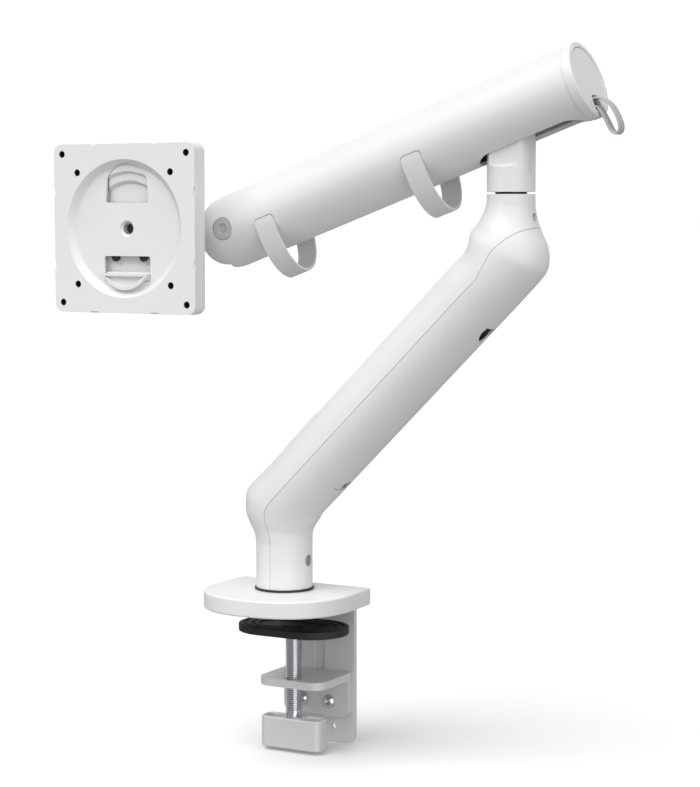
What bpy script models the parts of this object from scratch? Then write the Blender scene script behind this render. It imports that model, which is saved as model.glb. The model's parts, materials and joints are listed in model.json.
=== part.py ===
"""Desk-clamped monitor arm: clamp, post, angled lower arm, sprung upper tube and mounting head.

Units are metres, +Z is up. The origin is on the post's axis where the base rests on the desk.
Both arms lie in the XZ plane: the lower arm leans towards +X, the tube comes back towards -X,
and the mounting plate faces -Y. The desk's rear edge runs along X, behind the post.
"""

import math

import bmesh
import bpy
from mathutils import Matrix, Vector

GAP = 0.0003  # clearance between pieces that touch
SLIM = 0.0015  # an extra length that carries a cutter past a face

# base plate and what holds it to the desk
BASE_HALF = 0.0525
BASE_POWER = 2.35
BASE_BACK_Y = 0.030
BASE_BACK_HALF = 0.0508
BASE_THICK = 0.012
DESK_PAD_THICK = 0.0012
DESK_PAD_INSET = 0.004
BRACKET_HALF = 0.0277
BRACKET_THICK = 0.004
BRACKET_FRONT_Y = -0.026
BRACKET_DROP_Y = 0.048
BRACKET_BOTTOM = -0.1030
BRACKET_CORNER = 0.007
BRACKET_GROOVE_HALF = 0.0040
BRACKET_GROOVE_DEPTH = 0.0014
BRACKET_HOLE_R = 0.0021
BRACKET_HOLE_Z = -0.0928
JAW_TOP = -0.0527
JAW_THICK = 0.0053
JAW_FRONT_Y = 0.0033
JAW_HALF = 0.0258
JAW_CORNER = 0.011
JAW_FLANGE_THICK = 0.005
JAW_FLANGE_BOTTOM = -0.0840
JAW_SCREW_X = 0.0109
JAW_SCREW_Z = -0.0738
JAW_SCREW_R = 0.0025
JAW_SCREW_HEAD_R = 0.0048
JAW_SCREW_HEAD_H = 0.0036

# clamp screw, pad and knob
CLAMP_Y = 0.0125
SCREW_R = 0.0055
PAD_LENGTH = 0.080
PAD_WIDTH = 0.050
PAD_THICK = 0.0052
PAD_BOTTOM = -0.0200
SOCKET_R = 0.0105
SOCKET_WALL = 0.0022
KNOB_LENGTH = 0.0475
KNOB_WIDTH = 0.0150
KNOB_TOP = -0.0797
KNOB_HEIGHT = 0.0212
KNOB_CORNER = 0.0058
KNOB_POCKET_DEPTH = 0.012
KNOB_WALL = 0.0024
KNOB_HUB_R = 0.0082

# post and the lower arm that turns on it
POST_R = 0.0140
POST_TOP = 0.064
POST_RING_PROUD = 0.0011  # how far the ring stands out past the sleeve
POST_RING_THICK = 0.0010
POST_BOLT_R = 0.0040
POST_BOLT_HEAD_R = 0.0070
POST_BOLT_END = 0.034
POST_BUSH_WALL = 0.0025
SLEEVE_TOP = 0.047
BUSH_WALL = 0.0022
BUSH_LENGTH = 0.011
RUN = 0.00006  # radial clearance of a running fit
ARM_R = 0.0243
ARM_WALL = 0.0024
ARM_REACH = 0.1674  # sideways from the post's axis to the elbow's axis
BEND_LOW_Z = 0.071
NECK_R = 0.0154
NECK_RISE = 0.0400  # the neck's top above the upper bend
SEAM = 0.0004
SET_SCREW_Z = 0.0325
SET_SCREW_R = 0.0038
NECK_SCREW_DROP = 0.0150
NECK_SCREW_R = 0.0029
LID_HALF = 0.0105
LID_THICK = 0.0016
LID_START = 0.040  # along the sloping part, from the lower bend
LID_END_SHORT = 0.0407  # the lid stops this far short of the upper bend
SIDE_LID_START = 0.0300
SIDE_LID_END = 0.0640
SIDE_LID_HALF = 0.0060

# elbow
ELBOW_GAP = 0.0014
SHOULDER_RISE = 0.0161
KNUCKLE_FLAT_Y = 0.0116
KNUCKLE_FLAT_X = 0.0144
EYE_R = 0.0120
SPINDLE_R = 0.0065
SPINDLE_DROP = 0.0424
SPACER_R = 0.0101
ELBOW_NUT_R = 0.0100

# tube and what is in it; its own axis is x, from the lift pivot towards the tail
LIFT_RISE = 0.0516  # the lift pivot above the neck's top
TUBE_SLOPE = 20.2  # degrees, the tail above the head
TUBE_R = 0.0246
TUBE_WALL = 0.0023
HEAD_REACH = 0.2141  # lift pivot to head pivot
TAIL_REACH = 0.0495  # lift pivot to the tube's open end
NOSE_LENGTH = 0.0246
COLLAR_PROUD = 0.0005
COLLAR_LENGTH = 0.0062
COLLAR_FACE = 0.0038  # width of the collar's end face, tube wall included
SLOT_START = -0.0305
SLOT_END = 0.0470
LIFT_PIN_R = 0.0040
CARTRIDGE_R = 0.0085
CARTRIDGE_SHORT = 0.0381  # the spring starts this far from the head pivot
CARTRIDGE_END = -0.056
PLUNGER_R = 0.0030
PLUNGER_OUT = 0.0190
PLUNGER_HIDDEN = 0.0300
SPRING_Y = -0.0040
SPRING_Z = 0.0080
ROD_OFFSET = 0.0120  # the level rod's pins hang this far under the two pivots
ROD_CLEAR = 0.0008  # between the knuckle's flat and the rod
ROD_THICK = 0.0030
ROD_HALF = 0.0024
ROD_PIN_R = 0.0015
LOOP_FROM_HEAD = 0.0326
LOOP_FROM_LIFT = 0.0655
LOOP_WIDTH = 0.0142
LOOP_THICK = 0.0017
LOOP_TOP = -0.0040
LOOP_ROOM = 0.0149  # how much deeper the strap hangs than the tube's radius
PIVOT_PIN_R = 0.0034
PIVOT_CAP_R = 0.0074
PIVOT_CAP_SINK = 0.0027
TAB_WIDTH = 0.0085
TAB_THICK = 0.0012
LIFT_UP = 62.0  # degrees the tube's slope can change from here, head upwards
LIFT_DOWN = 5.0

# head
BRACKET_Y = 0.0088
BRACKET_RISE = 0.0085
BOSS_PROUD = 0.0006
PAN_REACH = 0.0565  # head pivot to pan axis
PAN_BOSS_R = 0.0105
PAN_PIN_R = 0.0040
PAN_LUG_THICK = 0.0050
TILT_Y = -0.0270
TILT_BARREL_R = 0.0078
TILT_BARREL_HALF = 0.0095
TILT_CHEEK = 0.0050
TILT_PIN_R = 0.0034
TILT_FACE_Y = -0.0405
TILT_FACE_R = 0.0205
PLATE_FACE_Y = -0.0580
PLATE_MARGIN = 0.0067  # from the outer holes to the plate's edge
PLATE_THICK = 0.0127
PLATE_CORNER = 0.0060
INSERT_THICK = 0.0060
DISH_R = 0.0462
DISH_DEPTH = 0.0042
DISH_SLOPE = 0.0042
VESA_WIDE = 0.100
VESA_NARROW = 0.075
VESA_HOLE_R = 0.00235
LATCH_HALF = 0.0186
CLIP_X = 0.0244

SLOPE = math.radians(TUBE_SLOPE)
SLEEVE_R = POST_R + POST_BUSH_WALL + GAP + ARM_WALL
POST_RING_R = SLEEVE_R + POST_RING_PROUD
ELBOW_X = ARM_REACH
ARM_RUN = ARM_REACH * math.sqrt(2)  # length of the sloping part between its bends
BEND_HIGH_Z = BEND_LOW_Z + ARM_REACH
LID_END = ARM_RUN - LID_END_SHORT
NECK_TOP = BEND_HIGH_Z + NECK_RISE
NECK_SCREW_Z = NECK_TOP - NECK_SCREW_DROP
SPINDLE_BOTTOM = NECK_TOP - SPINDLE_DROP
KNUCKLE_BOTTOM = NECK_TOP + ELBOW_GAP
KNUCKLE_SHOULDER = NECK_TOP + SHOULDER_RISE
LIFT_Z = NECK_TOP + LIFT_RISE
HEAD_X = ELBOW_X - HEAD_REACH * math.cos(SLOPE)
HEAD_Z = LIFT_Z - HEAD_REACH * math.sin(SLOPE)
PAN_X = HEAD_X - PAN_REACH
TUBE_IN = TUBE_R - TUBE_WALL
COLLAR_R = TUBE_R + COLLAR_PROUD
END_DISC_R = TUBE_R - COLLAR_FACE
PIVOT_CAP_Y = TUBE_R - PIVOT_CAP_SINK
CARTRIDGE_START = CARTRIDGE_SHORT - HEAD_REACH
ROD_Y = KNUCKLE_FLAT_Y + ROD_CLEAR + ROD_THICK / 2
LOOP_AT = (LOOP_FROM_HEAD - HEAD_REACH, -LOOP_FROM_LIFT)
LOOP_DEPTH = TUBE_R + LOOP_ROOM
BOSS_RISE = BRACKET_RISE + BOSS_PROUD
PLATE_HALF = VESA_WIDE / 2 + PLATE_MARGIN


def clear_scene():
    for thing in list(bpy.data.objects):
        bpy.data.objects.remove(thing, do_unlink=True)


def collection(name):
    made = bpy.data.collections.new(name)
    bpy.context.scene.collection.children.link(made)
    return made


def material(name, colour, rough, metal=0.0):
    made = bpy.data.materials.new(name)
    made.use_nodes = True
    shader = made.node_tree.nodes["Principled BSDF"]
    shader.inputs["Base Color"].default_value = (*colour, 1.0)
    shader.inputs["Roughness"].default_value = rough
    shader.inputs["Metallic"].default_value = metal
    return made


def empty(name, location, turn_y=0.0):
    made = bpy.data.objects.new(name, None)
    made.location = location
    made.rotation_euler = (0.0, turn_y, 0.0)
    PARTS.objects.link(made)
    return made


def add(name, mesh, paint=None, parent=None, location=(0, 0, 0), turn=(0, 0, 0)):
    """Puts a mesh in the scene as a part, or as a cutter when it has no paint."""
    made = bpy.data.objects.new(name, mesh)
    made.location = location
    made.rotation_euler = turn
    made.parent = parent
    if paint is None:
        CUTTERS.objects.link(made)
        made.hide_render = True
        made.display_type = "WIRE"
    else:
        mesh.materials.clear()
        mesh.materials.append(paint)
        PARTS.objects.link(made)
    return made


def mesh_of(shape):
    mesh = bpy.data.meshes.new("shape")
    shape.to_mesh(mesh)
    shape.free()
    return mesh


def cylinder(radius, low, high, sides=32, axis="Z", top_radius=None):
    """A closed cylinder or cone along an axis, from low to high."""
    shape = bmesh.new()
    top = radius if top_radius is None else top_radius
    bmesh.ops.create_cone(
        shape,
        cap_ends=True,
        segments=sides,
        radius1=radius,
        radius2=top,
        depth=high - low,
    )
    bmesh.ops.translate(shape, verts=shape.verts, vec=(0, 0, (low + high) / 2))
    turns = {
        "X": Matrix.Rotation(math.pi / 2, 4, "Y"),
        "Y": Matrix.Rotation(-math.pi / 2, 4, "X"),
        "Z": Matrix(),
    }
    bmesh.ops.transform(shape, matrix=turns[axis], verts=shape.verts)
    return mesh_of(shape)


def box(low, high):
    shape = bmesh.new()
    bmesh.ops.create_cube(shape, size=1.0)
    size = [h - l for l, h in zip(low, high)]
    middle = [(h + l) / 2 for l, h in zip(low, high)]
    bmesh.ops.scale(shape, vec=size, verts=shape.verts)
    bmesh.ops.translate(shape, vec=middle, verts=shape.verts)
    return mesh_of(shape)


def solid_of_curve(curve):
    """The closed mesh of a filled curve, its caps welded to its walls."""
    holder = bpy.data.objects.new("curve", curve)
    CUTTERS.objects.link(holder)
    bpy.context.view_layer.update()
    seen = holder.evaluated_get(bpy.context.evaluated_depsgraph_get())
    mesh = bpy.data.meshes.new_from_object(seen)
    bpy.data.objects.remove(holder, do_unlink=True)
    shape = bmesh.new()
    shape.from_mesh(mesh)
    bmesh.ops.remove_doubles(shape, verts=shape.verts, dist=1e-6)
    bmesh.ops.recalc_face_normals(shape, faces=shape.faces)
    shape.to_mesh(mesh)
    shape.free()
    return mesh


def prism(outline, low, high, plane="XY"):
    """A flat outline given thickness: across Z for XY, across Y for XZ, across X for YZ."""
    curve = bpy.data.curves.new("outline", "CURVE")
    curve.dimensions = "2D"
    curve.fill_mode = "BOTH"
    curve.extrude = (high - low) / 2
    spline = curve.splines.new("POLY")
    spline.points.add(len(outline) - 1)
    for point, (a, b) in zip(spline.points, outline):
        point.co = (a, b, 0, 1)
    spline.use_cyclic_u = True
    mesh = solid_of_curve(curve)
    middle = (low + high) / 2
    place = {
        "XY": Matrix.Translation((0, 0, middle)),
        "XZ": Matrix.Translation((0, middle, 0)) @ Matrix.Rotation(math.pi / 2, 4, "X"),
        "YZ": Matrix.Translation((middle, 0, 0))
        @ Matrix.Rotation(math.pi / 2, 4, "Z")
        @ Matrix.Rotation(math.pi / 2, 4, "X"),
    }
    mesh.transform(place[plane])
    return mesh


def turned(profile, sides=40, axis="Z"):
    """A closed outline of (radius, height) spun once about an axis; both ends may be on it."""
    shape = bmesh.new()
    line = [shape.verts.new((radius, 0, height)) for radius, height in profile]
    edges = [shape.edges.new(pair) for pair in zip(line, line[1:])]
    if profile[0][0] > 0 or profile[-1][0] > 0:
        edges.append(shape.edges.new((line[-1], line[0])))
    bmesh.ops.spin(
        shape,
        geom=line + edges,
        cent=(0, 0, 0),
        axis=(0, 0, 1),
        angle=2 * math.pi,
        steps=sides,
        use_merge=True,
    )
    bmesh.ops.remove_doubles(shape, verts=shape.verts, dist=1e-6)
    bmesh.ops.recalc_face_normals(shape, faces=shape.faces)
    turns = {
        "X": Matrix.Rotation(math.pi / 2, 4, "Y"),
        "Y": Matrix.Rotation(-math.pi / 2, 4, "X"),
        "Z": Matrix(),
    }
    bmesh.ops.transform(shape, matrix=turns[axis], verts=shape.verts)
    return mesh_of(shape)


def arc(centre, radius, start, end, steps):
    """Points on a circle between two angles in degrees, both ends included."""
    angles = [math.radians(start + (end - start) * i / steps) for i in range(steps + 1)]
    return [
        (centre[0] + radius * math.cos(a), centre[1] + radius * math.sin(a))
        for a in angles
    ]


def rounded_rectangle(low, high, radius, steps=4):
    (x0, y0), (x1, y1) = low, high
    return (
        arc((x1 - radius, y0 + radius), radius, -90, 0, steps)
        + arc((x1 - radius, y1 - radius), radius, 0, 90, steps)
        + arc((x0 + radius, y1 - radius), radius, 90, 180, steps)
        + arc((x0 + radius, y0 + radius), radius, 180, 270, steps)
    )


def smooth_line(points, steps=4):
    """A line that runs smoothly through the points given."""
    points = [Vector(p) for p in points]
    line = []
    for i in range(len(points) - 1):
        p0 = points[max(i - 1, 0)]
        p1, p2 = points[i], points[i + 1]
        p3 = points[min(i + 2, len(points) - 1)]
        for j in range(steps):
            t = j / steps
            bend = (p2 - p0) * t + (2 * p0 - 5 * p1 + 4 * p2 - p3) * t**2
            bend += (3 * p1 - p0 - 3 * p2 + p3) * t**3
            line.append(p1 + bend / 2)
    return line + [points[-1]]


def ribbon(line, thickness):
    """The outline of a strip of even thickness that follows a line."""
    sides = ([], [])
    for i, point in enumerate(line):
        way = (line[min(i + 1, len(line) - 1)] - line[max(i - 1, 0)]).normalized()
        across = Vector((-way.y, way.x)) * thickness / 2
        sides[0].append(tuple(point + across))
        sides[1].append(tuple(point - across))
    return sides[0] + sides[1][::-1]


def boolean(target, tool, operation="DIFFERENCE"):
    change = target.modifiers.new(tool.name, "BOOLEAN")
    change.operation = operation
    change.object = tool
    change.solver = "EXACT"


def cut(target, name, mesh, parent=None, location=(0, 0, 0), turn=(0, 0, 0)):
    boolean(target, add(name, mesh, None, parent, location, turn))


def join(target, name, mesh, parent=None, location=(0, 0, 0), turn=(0, 0, 0)):
    boolean(target, add(name, mesh, None, parent, location, turn), "UNION")


def soften(target, width, segments=2, angle=40):
    """Rounds the sharp edges of a piece."""
    change = target.modifiers.new("rounded edges", "BEVEL")
    change.width = width
    change.segments = segments
    change.limit_method = "ANGLE"
    change.angle_limit = math.radians(angle)


# ---------------------------------------------------------------- base and clamp


def base_outline(inset=0.0):
    """Squarish round front, nearly straight sides and a flat back, seen from above."""
    half = BASE_HALF - inset
    back = BASE_BACK_Y - inset
    front = []
    for i in range(25):
        angle = math.pi + math.pi * i / 24
        c, s = math.cos(angle), math.sin(angle)
        front.append(
            (
                math.copysign(half * abs(c) ** (2 / BASE_POWER), c),
                -half * abs(s) ** (2 / BASE_POWER),
            )
        )
    corner = BASE_BACK_HALF - inset
    return front + [(corner, back), (-corner, back)]


def make_base():
    plate = add("base_plate", prism(base_outline(), GAP, BASE_THICK), PAINT["white"])
    soften(plate, 0.0012, 2, 60)
    pad_top = DESK_PAD_THICK + GAP
    recess = base_outline(DESK_PAD_INSET - GAP)
    cut(plate, "pad_recess", prism(recess, -SLIM, pad_top))
    leg_top = pad_top + BRACKET_THICK + GAP
    pocket_half = BRACKET_HALF + GAP
    low = (-pocket_half, BRACKET_FRONT_Y - GAP, 0)
    cut(
        plate, "leg_pocket", box(low, (pocket_half, BASE_BACK_Y + 2 * SLIM, leg_top))
    )
    cut(
        plate,
        "bolt_bore",
        cylinder(POST_BOLT_R + GAP, 0, BASE_THICK + SLIM, 24),
    )
    add(
        "desk_pad",
        prism(base_outline(DESK_PAD_INSET), 0, DESK_PAD_THICK),
        PAINT["rubber"],
    )


def make_bracket():
    """Steel angle: a leg under the base plate and a plate down behind the desk's edge."""
    bottom = DESK_PAD_THICK + GAP
    top = bottom + BRACKET_THICK
    back = BRACKET_DROP_Y + BRACKET_THICK
    bend = BRACKET_THICK + 0.0020
    side_view = (
        [(BRACKET_FRONT_Y, bottom), (BRACKET_DROP_Y - 0.0020, bottom)]
        + arc((BRACKET_DROP_Y - 0.0020, bottom - 0.0020), 0.0020, 90, 0, 3)[1:]
        + [(BRACKET_DROP_Y, BRACKET_BOTTOM), (back, BRACKET_BOTTOM)]
        + arc((back - bend, top - bend), bend, 0, 90, 5)
        + [(BRACKET_FRONT_Y, top)]
    )
    angle = add(
        "clamp_bracket",
        prism(side_view, -BRACKET_HALF, BRACKET_HALF, "YZ"),
        PAINT["silver"],
    )
    face = rounded_rectangle(
        (-BRACKET_HALF - SLIM, BRACKET_BOTTOM),
        (BRACKET_HALF + SLIM, top + 0.05),
        BRACKET_CORNER + SLIM,
        5,
    )
    keep = add("bracket_corners", prism(face, BRACKET_FRONT_Y - SLIM, 0.06, "XZ"))
    boolean(angle, keep, "INTERSECT")
    groove = rounded_rectangle(
        (-BRACKET_GROOVE_HALF, JAW_TOP - 0.004),
        (BRACKET_GROOVE_HALF, -0.004),
        BRACKET_GROOVE_HALF * 0.98,
        4,
    )
    cut(
        angle,
        "bracket_groove",
        prism(
            groove, BRACKET_DROP_Y - SLIM, BRACKET_DROP_Y + BRACKET_GROOVE_DEPTH, "XZ"
        ),
    )
    cut(
        angle, "bolt_head_bore", cylinder(POST_BOLT_HEAD_R + GAP, 0, top + SLIM, 24)
    )
    for side, x in (("left", -1), ("right", 1)):
        through = (BRACKET_DROP_Y - SLIM, back + SLIM)
        cut(
            angle,
            f"jaw_bore_{side}",
            cylinder(JAW_SCREW_R + GAP, *through, 16, "Y"),
            location=(x * JAW_SCREW_X, 0, JAW_SCREW_Z),
        )
        cut(
            angle,
            f"spare_bore_{side}",
            cylinder(BRACKET_HOLE_R, *through, 16, "Y"),
            location=(x * JAW_SCREW_X, 0, BRACKET_HOLE_Z),
        )


def make_jaw():
    """Lower jaw: a shelf that holds the clamp screw and a flange screwed to the bracket."""
    back = BRACKET_DROP_Y - GAP
    shelf = (
        arc(
            (JAW_HALF - JAW_CORNER, JAW_FRONT_Y + JAW_CORNER), JAW_CORNER, -90, 0, 6
        )
        + [(JAW_HALF, back), (-JAW_HALF, back)]
        + arc(
            (JAW_CORNER - JAW_HALF, JAW_FRONT_Y + JAW_CORNER), JAW_CORNER, 180, 270, 6
        )
    )
    jaw = add(
        "clamp_jaw", prism(shelf, JAW_TOP - JAW_THICK, JAW_TOP), PAINT["silver"]
    )
    flange = rounded_rectangle(
        (-JAW_HALF, JAW_FLANGE_BOTTOM), (JAW_HALF, JAW_TOP - 0.0003), 0.0055, 4
    )
    flange_front = back - JAW_FLANGE_THICK
    join(jaw, "jaw_flange", prism(flange, flange_front, back, "XZ"))
    cut(
        jaw,
        "jaw_screw_bore",
        cylinder(SCREW_R + GAP, JAW_TOP - JAW_THICK - SLIM, JAW_TOP + SLIM, 32),
        location=(0, CLAMP_Y, 0),
    )
    for side, x in (("left", -JAW_SCREW_X), ("right", JAW_SCREW_X)):
        cut(
            jaw,
            f"flange_bore_{side}",
            cylinder(JAW_SCREW_R + GAP, flange_front - SLIM, back + SLIM, 16, "Y"),
            location=(x, 0, JAW_SCREW_Z),
        )
        face = -(flange_front - GAP)
        dome = [(0, face + JAW_SCREW_HEAD_H)]
        dome += [
            (
                JAW_SCREW_HEAD_R * math.sin(a),
                face + JAW_SCREW_HEAD_H * math.cos(a),
            )
            for a in [math.pi / 2 * i / 5 for i in range(1, 6)]
        ]
        end = -(BRACKET_DROP_Y + BRACKET_THICK)
        dome += [(JAW_SCREW_R, face), (JAW_SCREW_R, end), (0, end)]
        add(
            f"jaw_screw_{side}",
            turned(dome, 20),
            PAINT["steel"],
            location=(x, 0, JAW_SCREW_Z),
            turn=(math.pi / 2, 0, 0),
        )


def make_clamp_screw():
    top = PAD_BOTTOM + PAD_THICK
    half = PAD_WIDTH / 2
    straight = PAD_LENGTH / 2 - half
    outline = arc((straight, 0), half, -90, 90, 12) + arc(
        (-straight, 0), half, 90, 270, 12
    )
    pad = add(
        "clamp_pad",
        prism(outline, PAD_BOTTOM, top),
        PAINT["rubber"],
        location=(0, CLAMP_Y, 0),
    )
    soften(pad, 0.0006, 1, 60)
    socket_top = top - 0.0014
    cut(
        pad,
        "pad_socket_bore",
        cylinder(SOCKET_R + GAP, PAD_BOTTOM - SLIM, socket_top, 24),
        location=(0, CLAMP_Y, 0),
    )
    cup_top = socket_top - GAP
    mouth = SCREW_R - 0.0008
    cup = [
        (0, cup_top),
        (SOCKET_R, cup_top),
        (SOCKET_R, PAD_BOTTOM),
        (mouth, PAD_BOTTOM),
        (SOCKET_R - SOCKET_WALL, PAD_BOTTOM + 0.0010),
        (SOCKET_R - SOCKET_WALL, cup_top - 0.0010),
        (0, cup_top - 0.0010),
    ]
    add("pad_socket", turned(cup, 24), PAINT["steel"], location=(0, CLAMP_Y, 0))
    neck_r = mouth - 0.0007
    button_low = PAD_BOTTOM + 0.0013
    button_high = cup_top - 0.0013
    button_r = SOCKET_R - SOCKET_WALL - 0.0004
    knob_seat = KNOB_TOP - KNOB_HEIGHT + 0.007
    rod = [
        (0, button_high),
        (button_r, button_high),
        (button_r, button_low),
        (neck_r, button_low),
        (neck_r, PAD_BOTTOM - 0.0012),
        (SCREW_R, PAD_BOTTOM - 0.0022),
        (SCREW_R, KNOB_TOP + 0.0035),
        (SCREW_R - 0.0004, KNOB_TOP + 0.0035),
        (SCREW_R - 0.0004, knob_seat),
        (0, knob_seat),
    ]
    add("clamp_screw", turned(rod, 28), PAINT["steel"], location=(0, CLAMP_Y, 0))
    knob_low = KNOB_TOP - KNOB_HEIGHT
    outline = rounded_rectangle(
        (-KNOB_LENGTH / 2, -KNOB_WIDTH / 2),
        (KNOB_LENGTH / 2, KNOB_WIDTH / 2),
        KNOB_CORNER,
        5,
    )
    knob = add(
        "clamp_knob",
        prism(outline, knob_low, KNOB_TOP),
        PAINT["silver"],
        location=(0, CLAMP_Y, 0),
    )
    soften(knob, 0.0006, 1, 60)
    cut(
        knob,
        "knob_bore",
        cylinder(SCREW_R - 0.0004 + GAP, knob_seat - GAP, KNOB_TOP + SLIM, 28),
        location=(0, CLAMP_Y, 0),
    )
    for side, x in (("left", -1), ("right", 1)):
        inner = KNOB_HUB_R
        outer = KNOB_LENGTH / 2 - KNOB_WALL
        half = KNOB_WIDTH / 2 - KNOB_WALL
        low, high = sorted((x * inner, x * outer))
        pocket = rounded_rectangle((low, -half), (high, half), 0.003, 3)
        cut(
            knob,
            f"knob_pocket_{side}",
            prism(pocket, KNOB_TOP - KNOB_POCKET_DEPTH, KNOB_TOP + SLIM),
            location=(0, CLAMP_Y, 0),
        )


def make_post():
    foot = BASE_THICK + GAP
    ring = foot + POST_RING_THICK
    post = add("post", cylinder(POST_R, foot, POST_TOP, 40), PAINT["steel"])
    soften(post, 0.0008, 1, 60)
    cut(
        post,
        "post_thread",
        cylinder(POST_BOLT_R + GAP, foot - SLIM, POST_BOLT_END + GAP, 24),
    )
    bore = POST_R + GAP
    add(
        "post_ring",
        turned([(bore, foot), (POST_RING_R, foot), (POST_RING_R, ring), (bore, ring)]),
        PAINT["dark"],
    )
    low = DESK_PAD_THICK + 2 * GAP
    head = BRACKET_THICK - GAP
    bolt = [
        (0, low),
        (POST_BOLT_HEAD_R, low),
        (POST_BOLT_HEAD_R, low + head),
        (POST_BOLT_R, low + head),
        (POST_BOLT_R, POST_BOLT_END),
        (0, POST_BOLT_END),
    ]
    add("post_bolt", turned(bolt, 24), PAINT["steel"])


# ---------------------------------------------------------------- lower arm


def arm_stations(inset=0.0):
    """Rings of the lower arm as (left point, right point, half width), bottom to top.

    Left and right are where the ring crosses the arm's mid plane, on the outer side of
    the lower bend and on its inner side. Both bends are softened by turning the rings.
    """
    low = BASE_THICK + GAP + POST_RING_THICK + GAP
    start = low - (0.0 if inset == 0.0 else SLIM)
    end = NECK_TOP + (0.0 if inset == 0.0 else SLIM)
    diagonal = Vector((1, 1)).normalized()
    across = Vector((-1, 1)).normalized()
    low_bend = Vector((0, BEND_LOW_Z))
    high_bend = Vector((ELBOW_X, BEND_HIGH_Z))

    def pair(left, right, half):
        left, right = Vector(left), Vector(right)
        middle = (left + right) / 2
        reach = (left - right).length / 2 - inset
        way = (left - right).normalized()
        return (middle + way * reach, middle - way * reach, half - inset)

    def slope(distance, half):
        middle = low_bend + diagonal * distance
        return pair(middle + across * half, middle - across * half, half)

    length = ARM_RUN
    s, r, n = SLEEVE_R, ARM_R, NECK_R

    def low_half(share):
        return s + (r - s) * share

    def high_half(share):
        return n + (r - n) * share

    return [
        pair((-s, start), (s, start), s),
        pair((-s, SLEEVE_TOP - 0.004), (s, SLEEVE_TOP - 0.004), s),
        pair((-s - 0.0012, SLEEVE_TOP + 0.0040), (s, SLEEVE_TOP), s + 0.0006),
        pair((-s - 0.0045, SLEEVE_TOP + 0.0100), (s + 0.0002, SLEEVE_TOP + 0.0035), low_half(0.275)),
        pair((-r - 0.0025, BEND_LOW_Z - 0.0055), (s + 0.0013, SLEEVE_TOP + 0.0065), low_half(0.59)),
        pair((-r - 0.0025, BEND_LOW_Z + 0.0035), (s + 0.0032, SLEEVE_TOP + 0.0095), low_half(0.785)),
        pair((0.0005 - r, BEND_LOW_Z + 0.0115), (s + 0.0058, SLEEVE_TOP + 0.0130), low_half(0.92)),
        slope(0.014, r),
        slope(length / 2, r),
        slope(length - 0.016, r),
        pair(
            (ELBOW_X - n - 0.0105, NECK_TOP - 0.0235),
            (ELBOW_X + r - 0.0031, BEND_HIGH_Z - 0.0125),
            high_half(0.966),
        ),
        pair(
            (ELBOW_X - n - 0.0068, NECK_TOP - 0.0190),
            (ELBOW_X + r + 0.0005, BEND_HIGH_Z - 0.0042),
            high_half(0.83),
        ),
        pair(
            (ELBOW_X - n - 0.0038, NECK_TOP - 0.0145),
            (ELBOW_X + r - 0.0001, BEND_HIGH_Z + 0.0060),
            high_half(0.584),
        ),
        pair(
            (ELBOW_X - n - 0.0016, NECK_TOP - 0.0100),
            (ELBOW_X + r - 0.0040, BEND_HIGH_Z + 0.0150),
            high_half(0.29),
        ),
        pair(
            (ELBOW_X - n - 0.0004, NECK_TOP - 0.0060),
            (ELBOW_X + n + 0.0018, BEND_HIGH_Z + 0.0232),
            high_half(0.10),
        ),
        pair((ELBOW_X - n, NECK_TOP - 0.0030), (ELBOW_X + n + 0.0002, NECK_TOP - 0.0085), n),
        pair((ELBOW_X - n, end), (ELBOW_X + n, end), n),
    ]


def loft(stations, sides=28):
    """A closed skin over elliptical rings that each cross the mid plane at two points."""
    shape = bmesh.new()
    rings = []
    for left, right, half in stations:
        middle = (left + right) / 2
        reach = (right - left) / 2
        ring = []
        for i in range(sides):
            angle = 2 * math.pi * i / sides
            flat = middle + reach * math.cos(angle)
            point = (flat.x, -half * math.sin(angle), flat.y)
            ring.append(shape.verts.new(point))
        rings.append(ring)
    loops = []
    for ring in rings:
        pairs = zip(ring, ring[1:] + ring[:1])
        loops.append([shape.edges.new(pair) for pair in pairs])
    for below, above in zip(loops, loops[1:]):
        bmesh.ops.bridge_loops(shape, edges=below + above)
    for loop in (loops[0], loops[-1]):
        bmesh.ops.edgeloop_fill(shape, edges=loop)
    bmesh.ops.recalc_face_normals(shape, faces=shape.faces)
    return mesh_of(shape)


def seam_line(offset=0.0):
    """The line that parts the two shells, bottom to top, in the XZ plane."""
    diagonal = Vector((1, 1)).normalized()
    low_bend = Vector((0, BEND_LOW_Z))
    length = ARM_RUN
    line = [
        Vector((0, -0.01)),
        Vector((0, SLEEVE_TOP)),
        Vector((-0.0028, BEND_LOW_Z - 0.010)),
        Vector((-0.0034, BEND_LOW_Z - 0.003)),
        low_bend + diagonal * 0.006,
        low_bend + diagonal * (length - 0.030),
        Vector((ELBOW_X - 0.006, BEND_HIGH_Z + 0.0030)),
        Vector((ELBOW_X + 0.006, BEND_HIGH_Z + 0.0105)),
        Vector((ELBOW_X + 0.016, BEND_HIGH_Z + 0.0155)),
        Vector((ELBOW_X + 0.060, BEND_HIGH_Z + 0.0180)),
    ]
    if offset:
        moved = []
        for i, point in enumerate(line):
            before = line[max(i - 1, 0)]
            after = line[min(i + 1, len(line) - 1)]
            way = (after - before).normalized()
            moved.append(point + Vector((-way.y, way.x)) * offset)
        line = moved
    return [(point.x, point.y) for point in line]


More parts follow.
